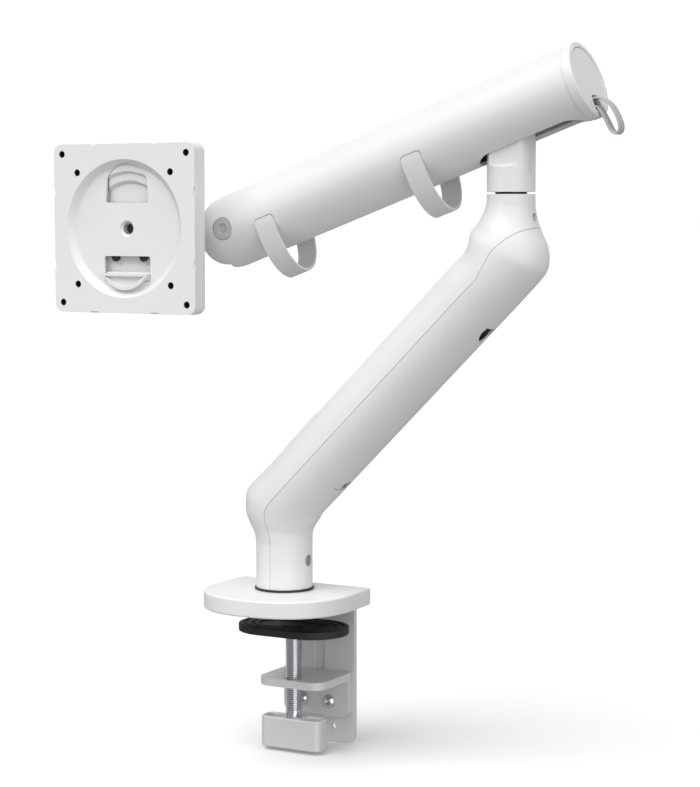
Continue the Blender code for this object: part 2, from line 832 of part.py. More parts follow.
def make_lower_arm():
    wide = 0.06
    upper = seam_line(SEAM / 2) + [(0.30, 0.36), (-0.08, 0.36), (-0.08, -0.01)]
    lower = seam_line(-SEAM / 2) + [(0.30, -0.01)]
    sides = {
        "lower_arm_back_shell": upper,
        "lower_arm_front_shell": lower,
    }
    for name, outline in sides.items():
        shell = add(name, loft(arm_stations()), PAINT["white"])
        keep = add(f"{name}_side", prism(outline, -wide, wide, "XZ"))
        boolean(shell, keep, "INTERSECT")
        cut(shell, f"{name}_hollow", loft(arm_stations(ARM_WALL)))
        if name == "lower_arm_front_shell":
            make_front_details(shell)
        else:
            make_back_details(shell)
    make_arm_bearings()


def along_arm(distance, rise):
    """A point by its distance along the sloping part and its height off the arm's axis."""
    step = math.sqrt(0.5)
    return (
        distance * step - rise * step,
        BEND_LOW_Z + distance * step + rise * step,
    )


def arm_box(start, end, half, low, high):
    """A box laid along the sloping part, as a mesh."""
    mesh = box((start, -half, low), (end, half, high))
    mesh.transform(
        Matrix.Translation((0, 0, BEND_LOW_Z)) @ Matrix.Rotation(-math.pi / 4, 4, "Y")
    )
    return mesh


def make_front_details(shell):
    """Cable lid in the underside, its finger notches and the sleeve's set screw."""
    floor = -ARM_R - 0.004
    seat = -math.sqrt(ARM_R**2 - LID_HALF**2) + 0.0001
    cut(
        shell,
        "lid_opening",
        arm_box(LID_START, LID_END, LID_HALF, floor, seat + LID_THICK + 0.0016),
    )
    lid_outline = [
        (LID_HALF * t, -math.sqrt(ARM_R**2 - (LID_HALF * t) ** 2))
        for t in [i / 5 for i in range(-5, 6)]
    ]
    inside = [(y * 0.97, z + LID_THICK) for y, z in reversed(lid_outline)]
    section = [(y * 0.965, z) for y, z in lid_outline] + inside
    mesh = prism(section, LID_START + 0.0006, LID_END - 0.0006, "YZ")
    mesh.transform(
        Matrix.Translation((0, 0, BEND_LOW_Z)) @ Matrix.Rotation(-math.pi / 4, 4, "Y")
    )
    lid = add("cable_lid", mesh, PAINT["white"])
    for name, distance, radius in (
        ("upper_notch", LID_END - 0.004, 0.0085),
        ("lower_notch", LID_START + 0.003, 0.0050),
    ):
        x, z = along_arm(distance, -ARM_R)
        cut(
            lid,
            name,
            cylinder(radius, -0.006, 0.006, 24),
            location=(x, 0, z),
            turn=(0, -math.pi / 4, 0),
        )
    hole_end = SLEEVE_R + SLIM
    cut(
        shell,
        "set_screw_bore",
        cylinder(SET_SCREW_R + GAP, POST_R, hole_end, 20, "X"),
        location=(0, 0, SET_SCREW_Z),
    )
    screw = add(
        "sleeve_set_screw",
        cylinder(SET_SCREW_R, POST_R + BUSH_WALL + 0.0004, SLEEVE_R - 0.0004, 20, "X"),
        PAINT["steel"],
        location=(0, 0, SET_SCREW_Z),
    )
    cut(
        screw,
        "set_screw_hex",
        cylinder(0.0017, SLEEVE_R - 0.0018, hole_end, 6, "X"),
        location=(0, 0, SET_SCREW_Z),
    )


def make_back_details(shell):
    """Lid on the upper side and the neck's set screw."""
    seat = math.sqrt(ARM_R**2 - SIDE_LID_HALF**2)
    cut(
        shell,
        "side_lid_opening",
        arm_box(
            SIDE_LID_START, SIDE_LID_END, SIDE_LID_HALF, seat - LID_THICK - 0.001, ARM_R + 0.004
        ),
    )
    outline = [
        (SIDE_LID_HALF * t, math.sqrt(ARM_R**2 - (SIDE_LID_HALF * t) ** 2) + 0.0006)
        for t in [i / 4 for i in range(-4, 5)]
    ]
    section = [(y * 0.94, z) for y, z in outline]
    section += [(y * 0.94, z - LID_THICK) for y, z in reversed(outline)]
    mesh = prism(section, SIDE_LID_START + 0.0005, SIDE_LID_END - 0.0005, "YZ")
    mesh.transform(
        Matrix.Translation((0, 0, BEND_LOW_Z)) @ Matrix.Rotation(-math.pi / 4, 4, "Y")
    )
    add("side_lid", mesh, PAINT["white"])
    face = NECK_R + 0.0022
    cut(
        shell,
        "neck_screw_bore",
        cylinder(NECK_SCREW_R + GAP, SPINDLE_R + 0.004, NECK_R + 0.006, 16, "X"),
        location=(ELBOW_X, 0, NECK_SCREW_Z),
    )
    inner = SPINDLE_R + BUSH_WALL + 0.0006
    add(
        "neck_set_screw",
        cylinder(NECK_SCREW_R, inner, face - 0.0028, 16, "X"),
        PAINT["steel"],
        location=(ELBOW_X, 0, NECK_SCREW_Z),
    )


def make_arm_bearings():
    """Plain bushes at the post and at the elbow's spindle, each in a boss ring."""
    bore = POST_R + RUN
    outer = SLEEVE_R - ARM_WALL - GAP
    low = BASE_THICK + 2 * GAP + POST_RING_THICK + GAP
    for name, start in (("post_bush_lower", low), ("post_bush_upper", SLEEVE_TOP - 0.006)):
        ring = [
            (bore, start),
            (outer, start),
            (outer, start + BUSH_LENGTH),
            (bore, start + BUSH_LENGTH),
        ]
        add(name, turned(ring, 40), PAINT["nylon"])
    bore = SPINDLE_R + RUN
    outer = NECK_R - ARM_WALL - GAP
    start = NECK_TOP - 0.0140
    lower = SPINDLE_BOTTOM + 0.0060
    ring = [
        (bore, start),
        (SPINDLE_R + BUSH_WALL, start),
        (SPINDLE_R + BUSH_WALL, NECK_TOP - 0.0080),
        (outer, NECK_TOP - 0.0080),
        (outer, NECK_TOP),
        (bore, NECK_TOP),
    ]
    place = (ELBOW_X, 0, 0)
    add("elbow_bush_upper", turned(ring, 32), PAINT["nylon"], location=place)
    ring = [
        (bore, lower),
        (SPINDLE_R + BUSH_WALL + 0.004, lower),
        (SPINDLE_R + BUSH_WALL + 0.004, lower + BUSH_LENGTH),
        (bore, lower + BUSH_LENGTH),
    ]
    add("elbow_bush_lower", turned(ring, 32), PAINT["nylon"], location=place)


# ---------------------------------------------------------------- elbow


def make_elbow():
    """Knuckle on its spindle: round below, with flats and an eye where it enters the tube."""
    place = (ELBOW_X, 0, 0)
    eye_low = LIFT_Z
    knuckle = add(
        "knuckle",
        cylinder(NECK_R, KNUCKLE_BOTTOM, eye_low, 40),
        PAINT["white"],
        location=place,
    )
    eye = cylinder(EYE_R, -KNUCKLE_FLAT_Y, KNUCKLE_FLAT_Y, 32, "Y")
    join(knuckle, "knuckle_eye", eye, location=(ELBOW_X, 0, LIFT_Z))
    chamfer = 0.0026
    side = [
        (KNUCKLE_FLAT_Y, KNUCKLE_SHOULDER + chamfer),
        (NECK_R + SLIM, KNUCKLE_SHOULDER),
        (NECK_R + SLIM, LIFT_Z + 0.02),
        (KNUCKLE_FLAT_Y, LIFT_Z + 0.02),
    ]
    for name, sign in (("front", -1), ("back", 1)):
        outline = [(sign * y, z) for y, z in side]
        cut(
            knuckle,
            f"knuckle_flat_{name}",
            prism(outline, -NECK_R - SLIM, NECK_R + SLIM, "YZ"),
            location=place,
        )
    side = [
        (KNUCKLE_FLAT_X, KNUCKLE_SHOULDER + chamfer),
        (NECK_R + SLIM, KNUCKLE_SHOULDER - 0.002),
        (NECK_R + SLIM, LIFT_Z + 0.02),
        (EYE_R + 0.0006, LIFT_Z + 0.02),
        (EYE_R + 0.0006, LIFT_Z - 0.012),
        (KNUCKLE_FLAT_X, LIFT_Z - 0.022),
    ]
    for name, sign in (("left", -1), ("right", 1)):
        outline = [(sign * x, z) for x, z in side]
        cut(
            knuckle,
            f"knuckle_flat_{name}",
            prism(outline, -NECK_R, NECK_R, "XZ"),
            location=place,
        )
    cut(
        knuckle,
        "lift_bore",
        cylinder(LIFT_PIN_R + RUN, -NECK_R - SLIM, NECK_R + SLIM, 24, "Y"),
        location=(ELBOW_X, 0, LIFT_Z),
    )
    cut(
        knuckle,
        "spindle_bore",
        cylinder(SPINDLE_R + GAP, KNUCKLE_BOTTOM - SLIM, KNUCKLE_SHOULDER + GAP, 24),
        location=place,
    )
    spindle = [
        (0, SPINDLE_BOTTOM),
        (SPINDLE_R - 0.0012, SPINDLE_BOTTOM),
        (SPINDLE_R - 0.0012, SPINDLE_BOTTOM + 0.0050),
        (SPINDLE_R, SPINDLE_BOTTOM + 0.0055),
        (SPINDLE_R, KNUCKLE_SHOULDER),
        (0, KNUCKLE_SHOULDER),
    ]
    add("elbow_spindle", turned(spindle, 28), PAINT["steel"], location=place)
    bore = SPINDLE_R + GAP
    low = NECK_TOP + GAP / 2
    high = KNUCKLE_BOTTOM - GAP / 2
    ring = [(bore, low), (SPACER_R, low), (SPACER_R, high), (bore, high)]
    add("elbow_spacer", turned(ring, 32), PAINT["dark"], location=place)
    bore = SPINDLE_R - 0.0012 + GAP
    low = SPINDLE_BOTTOM + 0.0008
    high = SPINDLE_BOTTOM + 0.0050
    nut = add(
        "elbow_nut", cylinder(ELBOW_NUT_R, low, high, 6), PAINT["steel"], location=place
    )
    cut(nut, "nut_thread", cylinder(bore, low - SLIM, high + SLIM, 28), location=place)
    pin = cylinder(ROD_PIN_R, 0.006, ROD_Y + ROD_THICK / 2 + 0.0004, 12, "Y")
    join(knuckle, "rod_pin_rear", pin, location=(ELBOW_X, 0, LIFT_Z - ROD_OFFSET))


# ---------------------------------------------------------------- tube


def nose_profile(radius, tip):
    """The tube's nose in (distance, radius), from its tip back to where it is full size."""
    points = []
    for i in range(9):
        angle = math.pi / 2 * i / 8
        points.append(
            (
                -HEAD_REACH - (tip * math.cos(angle) ** 0.9 if i < 8 else 0.0),
                radius * math.sin(angle) ** 0.9,
            )
        )
    return points


def nose_opening():
    """The room the head bracket sweeps through at the nose, in the tube's XZ plane."""
    clear = BRACKET_RISE + 0.0009
    pivot = Vector((-HEAD_REACH, 0))
    first = math.radians(180 - TUBE_SLOPE - LIFT_DOWN)
    last = math.radians(180 - TUBE_SLOPE + LIFT_UP)
    reach = 0.045

    def way(angle):
        return Vector((math.cos(angle), math.sin(angle)))

    line = [pivot + way(first) * reach + way(first - math.pi / 2) * clear]
    line.append(pivot + way(first) * (reach + clear))
    middle = (first + last) / 2
    line.append(pivot + way(middle) * (reach + 2 * clear))
    line.append(pivot + way(last) * (reach + clear))
    line.append(pivot + way(last) * reach + way(last + math.pi / 2) * clear)
    start = last + math.pi / 2
    end = first - math.pi / 2 + 2 * math.pi
    for i in range(9):
        line.append(pivot + way(start + (end - start) * i / 8) * clear)
    return [tuple(point) for point in line]


def make_tube(frame):
    outer = nose_profile(TUBE_R, NOSE_LENGTH)
    inner = nose_profile(TUBE_IN, NOSE_LENGTH - TUBE_WALL)
    profile = [(radius, x) for x, radius in outer] + [(TUBE_R, TAIL_REACH)]
    profile += [(TUBE_IN, TAIL_REACH)] + [(radius, x) for x, radius in reversed(inner)]
    tube = add("arm_tube", turned(profile, 48, "X"), PAINT["white"], frame)
    slot_half = KNUCKLE_FLAT_Y + 0.0013
    ends = slot_half * 0.999
    slot = rounded_rectangle(
        (SLOT_START, -slot_half - 0.0042), (SLOT_END, slot_half + 0.0042), ends, 6
    )
    cut(tube, "knuckle_slot", prism(slot, -TUBE_R - SLIM, -0.010), frame)
    half = BRACKET_Y + 0.0009
    opening = nose_opening()
    boss = cylinder(0.0056, -TUBE_IN - 0.0005, TUBE_IN + 0.0005, 24, "Y")
    join(tube, "pivot_bosses", boss, frame, (-HEAD_REACH, 0, 0))
    cut(tube, "nose_slot", prism(opening, -half, half, "XZ"), frame)
    for side, sign in (("front", -1), ("back", 1)):
        low, high = sorted((sign * PIVOT_CAP_Y, sign * (TUBE_R + SLIM)))
        cut(
            tube,
            f"cap_seat_{side}",
            cylinder(PIVOT_CAP_R + GAP, low, high, 28, "Y"),
            frame,
            (-HEAD_REACH, 0, 0),
        )
        low, high = sorted((sign * (PIVOT_CAP_Y + GAP), sign * (TUBE_R - 0.0008)))
        cap = add(
            f"pivot_cap_{side}",
            cylinder(PIVOT_CAP_R, low, high, 28, "Y"),
            PAINT["grey"],
            frame,
            (-HEAD_REACH, 0, 0),
        )
        low, high = sorted((sign * (TUBE_R - 0.0019), sign * (TUBE_R + SLIM)))
        cut(
            cap,
            f"cap_hex_{side}",
            cylinder(0.0016, low, high, 6, "Y"),
            frame,
            (-HEAD_REACH, 0, 0),
        )
    pin = add(
        "head_pivot_pin",
        cylinder(PIVOT_PIN_R, -PIVOT_CAP_Y + GAP, PIVOT_CAP_Y - GAP, 20, "Y"),
        PAINT["steel"],
        frame,
        (-HEAD_REACH, 0, 0),
    )
    cut(
        tube,
        "pin_bore",
        cylinder(PIVOT_PIN_R + GAP, -TUBE_R, TUBE_R, 20, "Y"),
        frame,
        tuple(pin.location),
    )
    make_tail(frame)
    for number, at in enumerate(LOOP_AT, 1):
        make_loop(number, at, frame, tube)


def make_tail(frame):
    """Collar, end disc and pull tab on the open end."""
    start = TAIL_REACH + GAP
    end = start + COLLAR_LENGTH
    lip = END_DISC_R + GAP
    spigot = TUBE_IN - GAP
    collar = [
        (lip - 0.0022, start - 0.004),
        (spigot, start - 0.004),
        (spigot, start),
        (COLLAR_R, start),
        (COLLAR_R, end - 0.0012),
        (COLLAR_R - 0.0012, end),
        (lip, end),
        (lip, end - 0.0028),
        (lip - 0.0022, end - 0.0028),
    ]
    ring = add("end_collar", turned(collar, 48, "X"), PAINT["white"], frame)
    disc = add(
        "end_disc",
        cylinder(END_DISC_R, end - 0.0025, end - 0.0003, 40, "X"),
        PAINT["white"],
        frame,
    )
    slot = rounded_rectangle(
        (-TAB_WIDTH / 2 - 0.0010, -END_DISC_R - 0.0022),
        (TAB_WIDTH / 2 + 0.0010, 0.0103 - END_DISC_R),
        0.0015,
        2,
    )
    cut(disc, "tab_slot", prism(slot, end - 0.02, end + SLIM, "YZ"), frame)
    make_tab(end, frame)


def make_tab(end, frame):
    """A narrow strap folded to a loop: it comes out of the slot, hangs and goes back in."""
    edge = -END_DISC_R
    line = [
        (end - 0.0022, edge + 0.0080),
        (end + 0.0014, edge + 0.0075),
        (end + 0.0050, edge + 0.0054),
        (end + 0.0082, edge + 0.0008),
        (end + 0.0098, edge - 0.0054),
        (end + 0.0102, edge - 0.0127),
        (end + 0.0086, edge - 0.0168),
        (end + 0.0058, edge - 0.0176),
        (end + 0.0036, edge - 0.0144),
        (end + 0.0026, edge - 0.0082),
        (end + 0.0014, edge - 0.0017),
        (end + 0.0000, edge + 0.0022),
        (end - 0.0022, edge + 0.0032),
    ]
    outline = ribbon(smooth_line(line, 3), TAB_THICK)
    half = TAB_WIDTH / 2
    add("pull_tab", prism(outline, -half, half, "XZ"), PAINT["grey"], frame)


def make_loop(number, at, frame, tube):
    """Springy strap slung under the tube; its ends sit in shallow pockets in the wall."""
    foot = LOOP_TOP - LOOP_DEPTH
    half = [
        (0.0003 - TUBE_R, LOOP_TOP),
        (0.0004 - TUBE_R, foot + 0.0345),
        (0.0011 - TUBE_R, foot + 0.0285),
        (0.0029 - TUBE_R, foot + 0.0205),
        (0.0066 - TUBE_R, foot + 0.0115),
        (0.0141 - TUBE_R, foot + 0.0035),
        (0.0, foot),
    ]
    line = half + [(-y, z) for y, z in reversed(half[:-1])]
    outline = ribbon(smooth_line(line, 3), LOOP_THICK)
    wide = LOOP_WIDTH / 2
    loop = add(
        f"cable_loop_{number}",
        prism(outline, at - wide, at + wide, "YZ"),
        PAINT["light_grey"],
        frame,
    )
    ends = rounded_rectangle((at - wide, -0.060), (at + wide, LOOP_TOP), 0.0026, 3)
    keep = add(f"loop_ends_{number}", prism(ends, -0.04, 0.04, "XZ"), None, frame)
    boolean(loop, keep, "INTERSECT")
    deep = TUBE_R - 0.0016
    for side, sign in (("front", -1), ("back", 1)):
        low, high = sorted((sign * deep, sign * (TUBE_R + 0.004)))
        face = rounded_rectangle(
            (at - wide - 0.0007, -0.0170), (at + wide + 0.0007, LOOP_TOP + 0.0008), 0.003, 3
        )
        pocket = prism(face, low, high, "XZ")
        cut(tube, f"loop_pocket_{number}_{side}", pocket, frame)


def make_lift_gear(frame):
    """Gas spring along the tube, its rod, and the cheeks that hold the lift pin."""
    place = (0, SPRING_Y, SPRING_Z)
    case = [
        (0, CARTRIDGE_START),
        (CARTRIDGE_R - 0.001, CARTRIDGE_START),
        (CARTRIDGE_R, CARTRIDGE_START + 0.001),
        (CARTRIDGE_R, CARTRIDGE_END - 0.001),
        (CARTRIDGE_R - 0.001, CARTRIDGE_END),
        (PLUNGER_R + RUN, CARTRIDGE_END),
        (PLUNGER_R + RUN, CARTRIDGE_END - PLUNGER_HIDDEN - 0.012),
        (0, CARTRIDGE_END - PLUNGER_HIDDEN - 0.012),
    ]
    add("gas_spring", turned(case, 28, "X"), PAINT["dark"], frame, place)
    rod_end = CARTRIDGE_END + PLUNGER_OUT
    rod = [
        (0, CARTRIDGE_END - PLUNGER_HIDDEN),
        (PLUNGER_R, CARTRIDGE_END - PLUNGER_HIDDEN),
        (PLUNGER_R, rod_end),
        (PLUNGER_R + 0.0022, rod_end),
        (PLUNGER_R + 0.0022, rod_end + 0.0040),
        (0, rod_end + 0.0040),
    ]
    add("gas_spring_rod", turned(rod, 20, "X"), PAINT["steel"], frame, place)
    screw_z = TUBE_IN - 0.0053
    block_low = -0.0120
    block = [
        (-0.0150, EYE_R + 0.0008),
        (0.0150, EYE_R + 0.0008),
        (0.0150, TUBE_IN - 0.0018),
        (-0.0150, TUBE_IN - 0.0018),
    ]
    carrier = add(
        "lift_carrier", prism(block, -0.0070, 0.0070, "XZ"), PAINT["cast"], frame
    )
    inner = KNUCKLE_FLAT_Y + 0.0005
    cheek_far = max(ROD_Y + ROD_THICK / 2 + 0.0034, TUBE_IN - 0.0035)
    for side, low, high in (
        ("front", -inner - 0.0045, -inner),
        ("back", ROD_Y + ROD_THICK / 2 + 0.0009, cheek_far),
    ):
        cheek = box((-0.0090, low, block_low), (0.0090, high, 0.0130))
        join(carrier, f"cheek_{side}", cheek, frame)
        inside = math.copysign(0.006, low)
        bridge = box(
            (-0.0090, min(inside, low), EYE_R + 0.0008),
            (0.0090, max(inside, high), EYE_R + 0.0026),
        )
        join(carrier, f"bridge_{side}", bridge, frame)
        # where the bore is too low over a cheek, a shoulder beside the knuckle reaches it
        near = min(abs(low), abs(high))
        over_cheek = math.sqrt((TUBE_IN - GAP) ** 2 - near**2) - 0.0019
        shoulder_low, shoulder_high = sorted((math.copysign(inner, low), low if low < 0 else high))
        shoulder = box(
            (-0.0090, shoulder_low, min(over_cheek, EYE_R + 0.0008)),
            (0.0090, shoulder_high, EYE_R + 0.0026),
        )
        if over_cheek < EYE_R + 0.0008:
            join(carrier, f"shoulder_{side}", shoulder, frame)
    trim = cylinder(TUBE_IN - GAP, -0.020, 0.020, 40, "X")
    boolean(carrier, add("carrier_trim", trim, None, frame), "INTERSECT")
    cut(
        carrier,
        "carrier_bore",
        cylinder(LIFT_PIN_R + GAP, -TUBE_R, TUBE_R, 24, "Y"),
        frame,
    )
    cut(
        carrier,
        "carrier_thread",
        cylinder(0.0026 + GAP, -0.02, 0.02, 16, "X"),
        frame,
        (0, 0, screw_z),
    )
    add(
        "lift_pin",
        cylinder(LIFT_PIN_R, -inner - 0.0045, cheek_far, 24, "Y"),
        PAINT["steel"],
        frame,
    )
    add(
        "tension_screw",
        cylinder(0.0026, -0.0300, TAIL_REACH - 0.006, 16, "X"),
        PAINT["steel"],
        frame,
        (0, 0, screw_z),
    )


def make_level_rod():
    """Rod that keeps the head level: parallel to the tube, pinned under both pivots."""
    rear = Vector((ELBOW_X, 0, LIFT_Z - ROD_OFFSET))
    rod_frame = empty("level_rod_axis", tuple(rear), -SLOPE)
    bar = box(
        (-HEAD_REACH, ROD_Y - ROD_THICK / 2, -ROD_HALF),
        (0, ROD_Y + ROD_THICK / 2, ROD_HALF),
    )
    rod = add("level_rod", bar, PAINT["steel"], rod_frame)
    for name, x in (("rear", 0.0), ("front", -HEAD_REACH)):
        eye = cylinder(0.0033, ROD_Y - ROD_THICK / 2, ROD_Y + ROD_THICK / 2, 16, "Y")
        join(rod, f"rod_eye_{name}", eye, rod_frame, (x, 0, 0))
        hole = cylinder(ROD_PIN_R + RUN, 0, TUBE_R, 12, "Y")
        cut(rod, f"rod_bore_{name}", hole, rod_frame, (x, 0, 0))


# ---------------------------------------------------------------- head


def make_head_bracket():
    place = (HEAD_X, 0, HEAD_Z)
    rise = BRACKET_RISE
    outline = (
        arc((0, 0), rise, -90, 90, 8)
        + [(0.0017 - PAN_REACH, rise), (0.0017 - PAN_REACH, -rise)]
    )
    arm = add(
        "head_bracket",
        prism(outline, -BRACKET_Y, BRACKET_Y, "XZ"),
        PAINT["cast"],
        location=place,
    )
    boss = cylinder(PAN_BOSS_R, -BOSS_RISE, BOSS_RISE, 32)
    join(arm, "pan_boss", boss, location=(PAN_X, 0, HEAD_Z))
    lug = box((-0.0040, 0.001 - BRACKET_Y, -ROD_OFFSET - 0.0035), (0.0040, BRACKET_Y - 0.001, 0))
    join(arm, "rod_lug", lug, location=place)
    cut(
        arm,
        "pan_bore",
        cylinder(PAN_PIN_R + RUN, -BOSS_RISE - SLIM, BOSS_RISE + SLIM, 24),
        location=(PAN_X, 0, HEAD_Z),
    )
    cut(
        arm,
        "pivot_bore",
        cylinder(PIVOT_PIN_R + RUN, -TUBE_R, TUBE_R, 20, "Y"),
        location=place,
    )
    pin = cylinder(ROD_PIN_R, 0.005, ROD_Y + ROD_THICK / 2 + 0.0004, 12, "Y")
    join(arm, "rod_pin_front", pin, location=(HEAD_X, 0, HEAD_Z - ROD_OFFSET))


def make_pan_fork():
    """Fork that turns about the upright pan pin and carries the tilt pin."""
    place = (PAN_X, 0, HEAD_Z)
    low = BOSS_RISE + 0.0014
    high = low + PAN_LUG_THICK
    wide = TILT_BARREL_HALF + 0.0004 + TILT_CHEEK
    back = TILT_Y + TILT_BARREL_R + 0.0006
    lug = arc((0, 0), PAN_BOSS_R, 0, 180, 12) + [
        (-PAN_BOSS_R, -PAN_BOSS_R - 0.002),
        (PAN_BOSS_R, -PAN_BOSS_R - 0.002),
    ]
    fork = add("pan_fork", prism(lug, low, high), PAINT["cast"], location=place)
    join(fork, "pan_lug_lower", prism(lug, -high, -low), location=place)
    front = -PAN_BOSS_R - 0.0012
    broad = wide + 0.0006
    web = box((-broad, back, -high - 0.0005), (broad, front, high + 0.0005))
    join(fork, "pan_web", web, location=place)
    for side, sign in (("left", -1), ("right", 1)):
        inner = TILT_BARREL_HALF + 0.0004
        a, b = sorted((sign * inner, sign * wide))
        half = TILT_BARREL_R
        cheek = arc((TILT_Y, 0), half, 90, 270, 8) + [(back + SLIM, -half), (back + SLIM, half)]
        join(fork, f"tilt_cheek_{side}", prism(cheek, a, b, "YZ"), location=place)
    cut(
        fork,
        "fork_pan_bore",
        cylinder(PAN_PIN_R + GAP, -high - SLIM, high + SLIM, 24),
        location=place,
    )
    cut(
        fork,
        "fork_tilt_bore",
        cylinder(TILT_PIN_R + GAP, -wide - SLIM, wide + SLIM, 20, "X"),
        location=(PAN_X, TILT_Y, HEAD_Z),
    )
    head = high + 0.0020
    pin = [
        (0, head),
        (PAN_PIN_R + 0.0022, head),
        (PAN_PIN_R + 0.0022, high + GAP),
        (PAN_PIN_R, high + GAP),
        (PAN_PIN_R, -high),
        (0, -high),
    ]
    add("pan_pin", turned(pin, 24), PAINT["steel"], location=place)
    for name, start in (("upper", BOSS_RISE + GAP), ("lower", -low + GAP)):
        end = start + low - BOSS_RISE - 2 * GAP
        bore = PAN_PIN_R + GAP
        ring = [(bore, start), (PAN_BOSS_R, start), (PAN_BOSS_R, end), (bore, end)]
        add(f"pan_washer_{name}", turned(ring, 28), PAINT["nylon"], location=place)
    add(
        "tilt_pin",
        cylinder(TILT_PIN_R, -wide, wide, 20, "X"),
        PAINT["steel"],
        location=(PAN_X, TILT_Y, HEAD_Z),
    )


def make_tilt_block():
    """Barrel on the tilt pin with a round face that the plate turns on."""
    place = (PAN_X, 0, HEAD_Z)
    block = add(
        "tilt_block",
        cylinder(TILT_BARREL_R, -TILT_BARREL_HALF, TILT_BARREL_HALF, 28, "X"),
        PAINT["cast"],
        location=(PAN_X, TILT_Y, HEAD_Z),
    )
    face_back = TILT_FACE_Y + 0.0032
    web_half = TILT_BARREL_HALF - 0.0010
    web = box((-web_half, face_back - 0.001, -0.0068), (web_half, TILT_Y, 0.0068))
    join(block, "tilt_web", web, location=place)
    join(
        block,
        "tilt_face",
        cylinder(TILT_FACE_R, TILT_FACE_Y, face_back, 36, "Y"),
        location=place,
    )
    shell_back = PLATE_FACE_Y + PLATE_THICK
    cut(
        block,
        "tilt_bore",
        cylinder(TILT_PIN_R + RUN, -0.02, 0.02, 20, "X"),
        location=(PAN_X, TILT_Y, HEAD_Z),
    )
    cut(
        block,
        "hub_thread",
        cylinder(0.0026 + GAP, TILT_FACE_Y - SLIM, TILT_FACE_Y + 0.0060, 16, "Y"),
        location=place,
    )
    disc = [
        (0.0036, shell_back + GAP),
        (TILT_FACE_R, shell_back + GAP),
        (TILT_FACE_R, TILT_FACE_Y - GAP),
        (0.0036, TILT_FACE_Y - GAP),
    ]
    add("friction_disc", turned(disc, 36, "Y"), PAINT["nylon"], location=place)


def make_plate():
    """Rear shell, front insert with the standard hole pattern, hub screw and hook screws."""
    place = (PAN_X, 0, HEAD_Z)
    back = PLATE_FACE_Y + PLATE_THICK
    square = rounded_rectangle(
        (-PLATE_HALF, -PLATE_HALF), (PLATE_HALF, PLATE_HALF), PLATE_CORNER, 5
    )
    seam = PLATE_FACE_Y + INSERT_THICK
    shell = add(
        "plate_rear_shell",
        prism(square, seam + GAP, back, "XZ"),
        PAINT["white"],
        location=place,
    )
    soften(shell, 0.0010, 1, 60)
    inner = rounded_rectangle(
        (0.0025 - PLATE_HALF, 0.0025 - PLATE_HALF),
        (PLATE_HALF - 0.0025, PLATE_HALF - 0.0025),
        PLATE_CORNER - 0.0020,
        4,
    )
    cut(
        shell, "shell_hollow", prism(inner, seam - SLIM, back - 0.0026, "XZ"), location=place
    )
    cut(shell, "shell_bore", cylinder(0.0036, seam, back + SLIM, 20, "Y"), location=place)
    insert = add(
        "vesa_plate",
        prism(square, PLATE_FACE_Y, seam, "XZ"),
        PAINT["white"],
        location=place,
    )
    dish = cylinder(
        DISH_R,
        PLATE_FACE_Y - 0.0002,
        PLATE_FACE_Y + DISH_DEPTH,
        48,
        "Y",
        DISH_R - DISH_SLOPE,
    )
    cut(insert, "dish", dish, location=place)
    for pitch in (VESA_WIDE, VESA_NARROW):
        for sx in (-1, 1):
            for sz in (-1, 1):
                at = (PAN_X + sx * pitch / 2, 0, HEAD_Z + sz * pitch / 2)
                bore = cylinder(VESA_HOLE_R, PLATE_FACE_Y - SLIM, seam + SLIM, 16, "Y")
                cut(insert, f"vesa_{int(pitch * 1000)}_{sx}_{sz}", bore, location=at)
    sink = cylinder(
        0.0058, PLATE_FACE_Y + DISH_DEPTH - GAP, seam + SLIM, 24, "Y", 0.0030
    )
    cut(insert, "hub_hole", sink, location=place)
    top = arc((0, 0.0215), 0.0180, 25, 155, 8)
    window = [(0.0172, 0.0175), *[(x, z + 0.0040) for x, z in top], (-0.0172, 0.0175)]
    depth = (PLATE_FACE_Y, seam + SLIM)
    cut(insert, "top_window", prism(window, *depth, "XZ"), location=place)
    low = rounded_rectangle(
        (-LATCH_HALF, -0.0350), (LATCH_HALF, -0.0184), 0.0014, 2
    )
    cut(insert, "low_window", prism(low, *depth, "XZ"), location=place)
    head_low = seam + GAP
    screw = [
        (0, head_low + 0.0022),
        (0.0030, head_low + 0.0022),
        (0.0030, back - 0.0015),
        (0.0026, back - 0.0010),
        (0.0026, TILT_FACE_Y + 0.0050),
        (0, TILT_FACE_Y + 0.0050),
    ]
    add("hub_screw", turned(screw, 20, "Y"), PAINT["steel"], location=place)
    for number in range(8):
        along = CLIP_X if number % 2 else -CLIP_X
        notch = box(
            (along - 0.0030, PLATE_FACE_Y - SLIM, PLATE_HALF - 0.0012),
            (along + 0.0030, PLATE_FACE_Y + 0.0012, PLATE_HALF + SLIM),
        )
        notch.transform(Matrix.Rotation(math.pi / 2 * (number // 2), 4, "Y"))
        cut(insert, f"clip_notch_{number + 1}", notch, location=place)
    for side, x in (("left", -0.0113), ("right", 0.0113)):
        boss = [
            (0, back - 0.0029),
            (0.0016, back - 0.0029),
            (0.0016, seam + 0.0022),
            (0.0030, seam + 0.0022),
            (0.0030, seam + 0.0006),
            (0, seam + 0.0006),
        ]
        add(
            f"hook_screw_{side}",
            turned(boss, 16, "Y"),
            PAINT["dark"],
            location=(PAN_X + x, 0, HEAD_Z - 0.0191),
        )
    make_latch(place, seam)


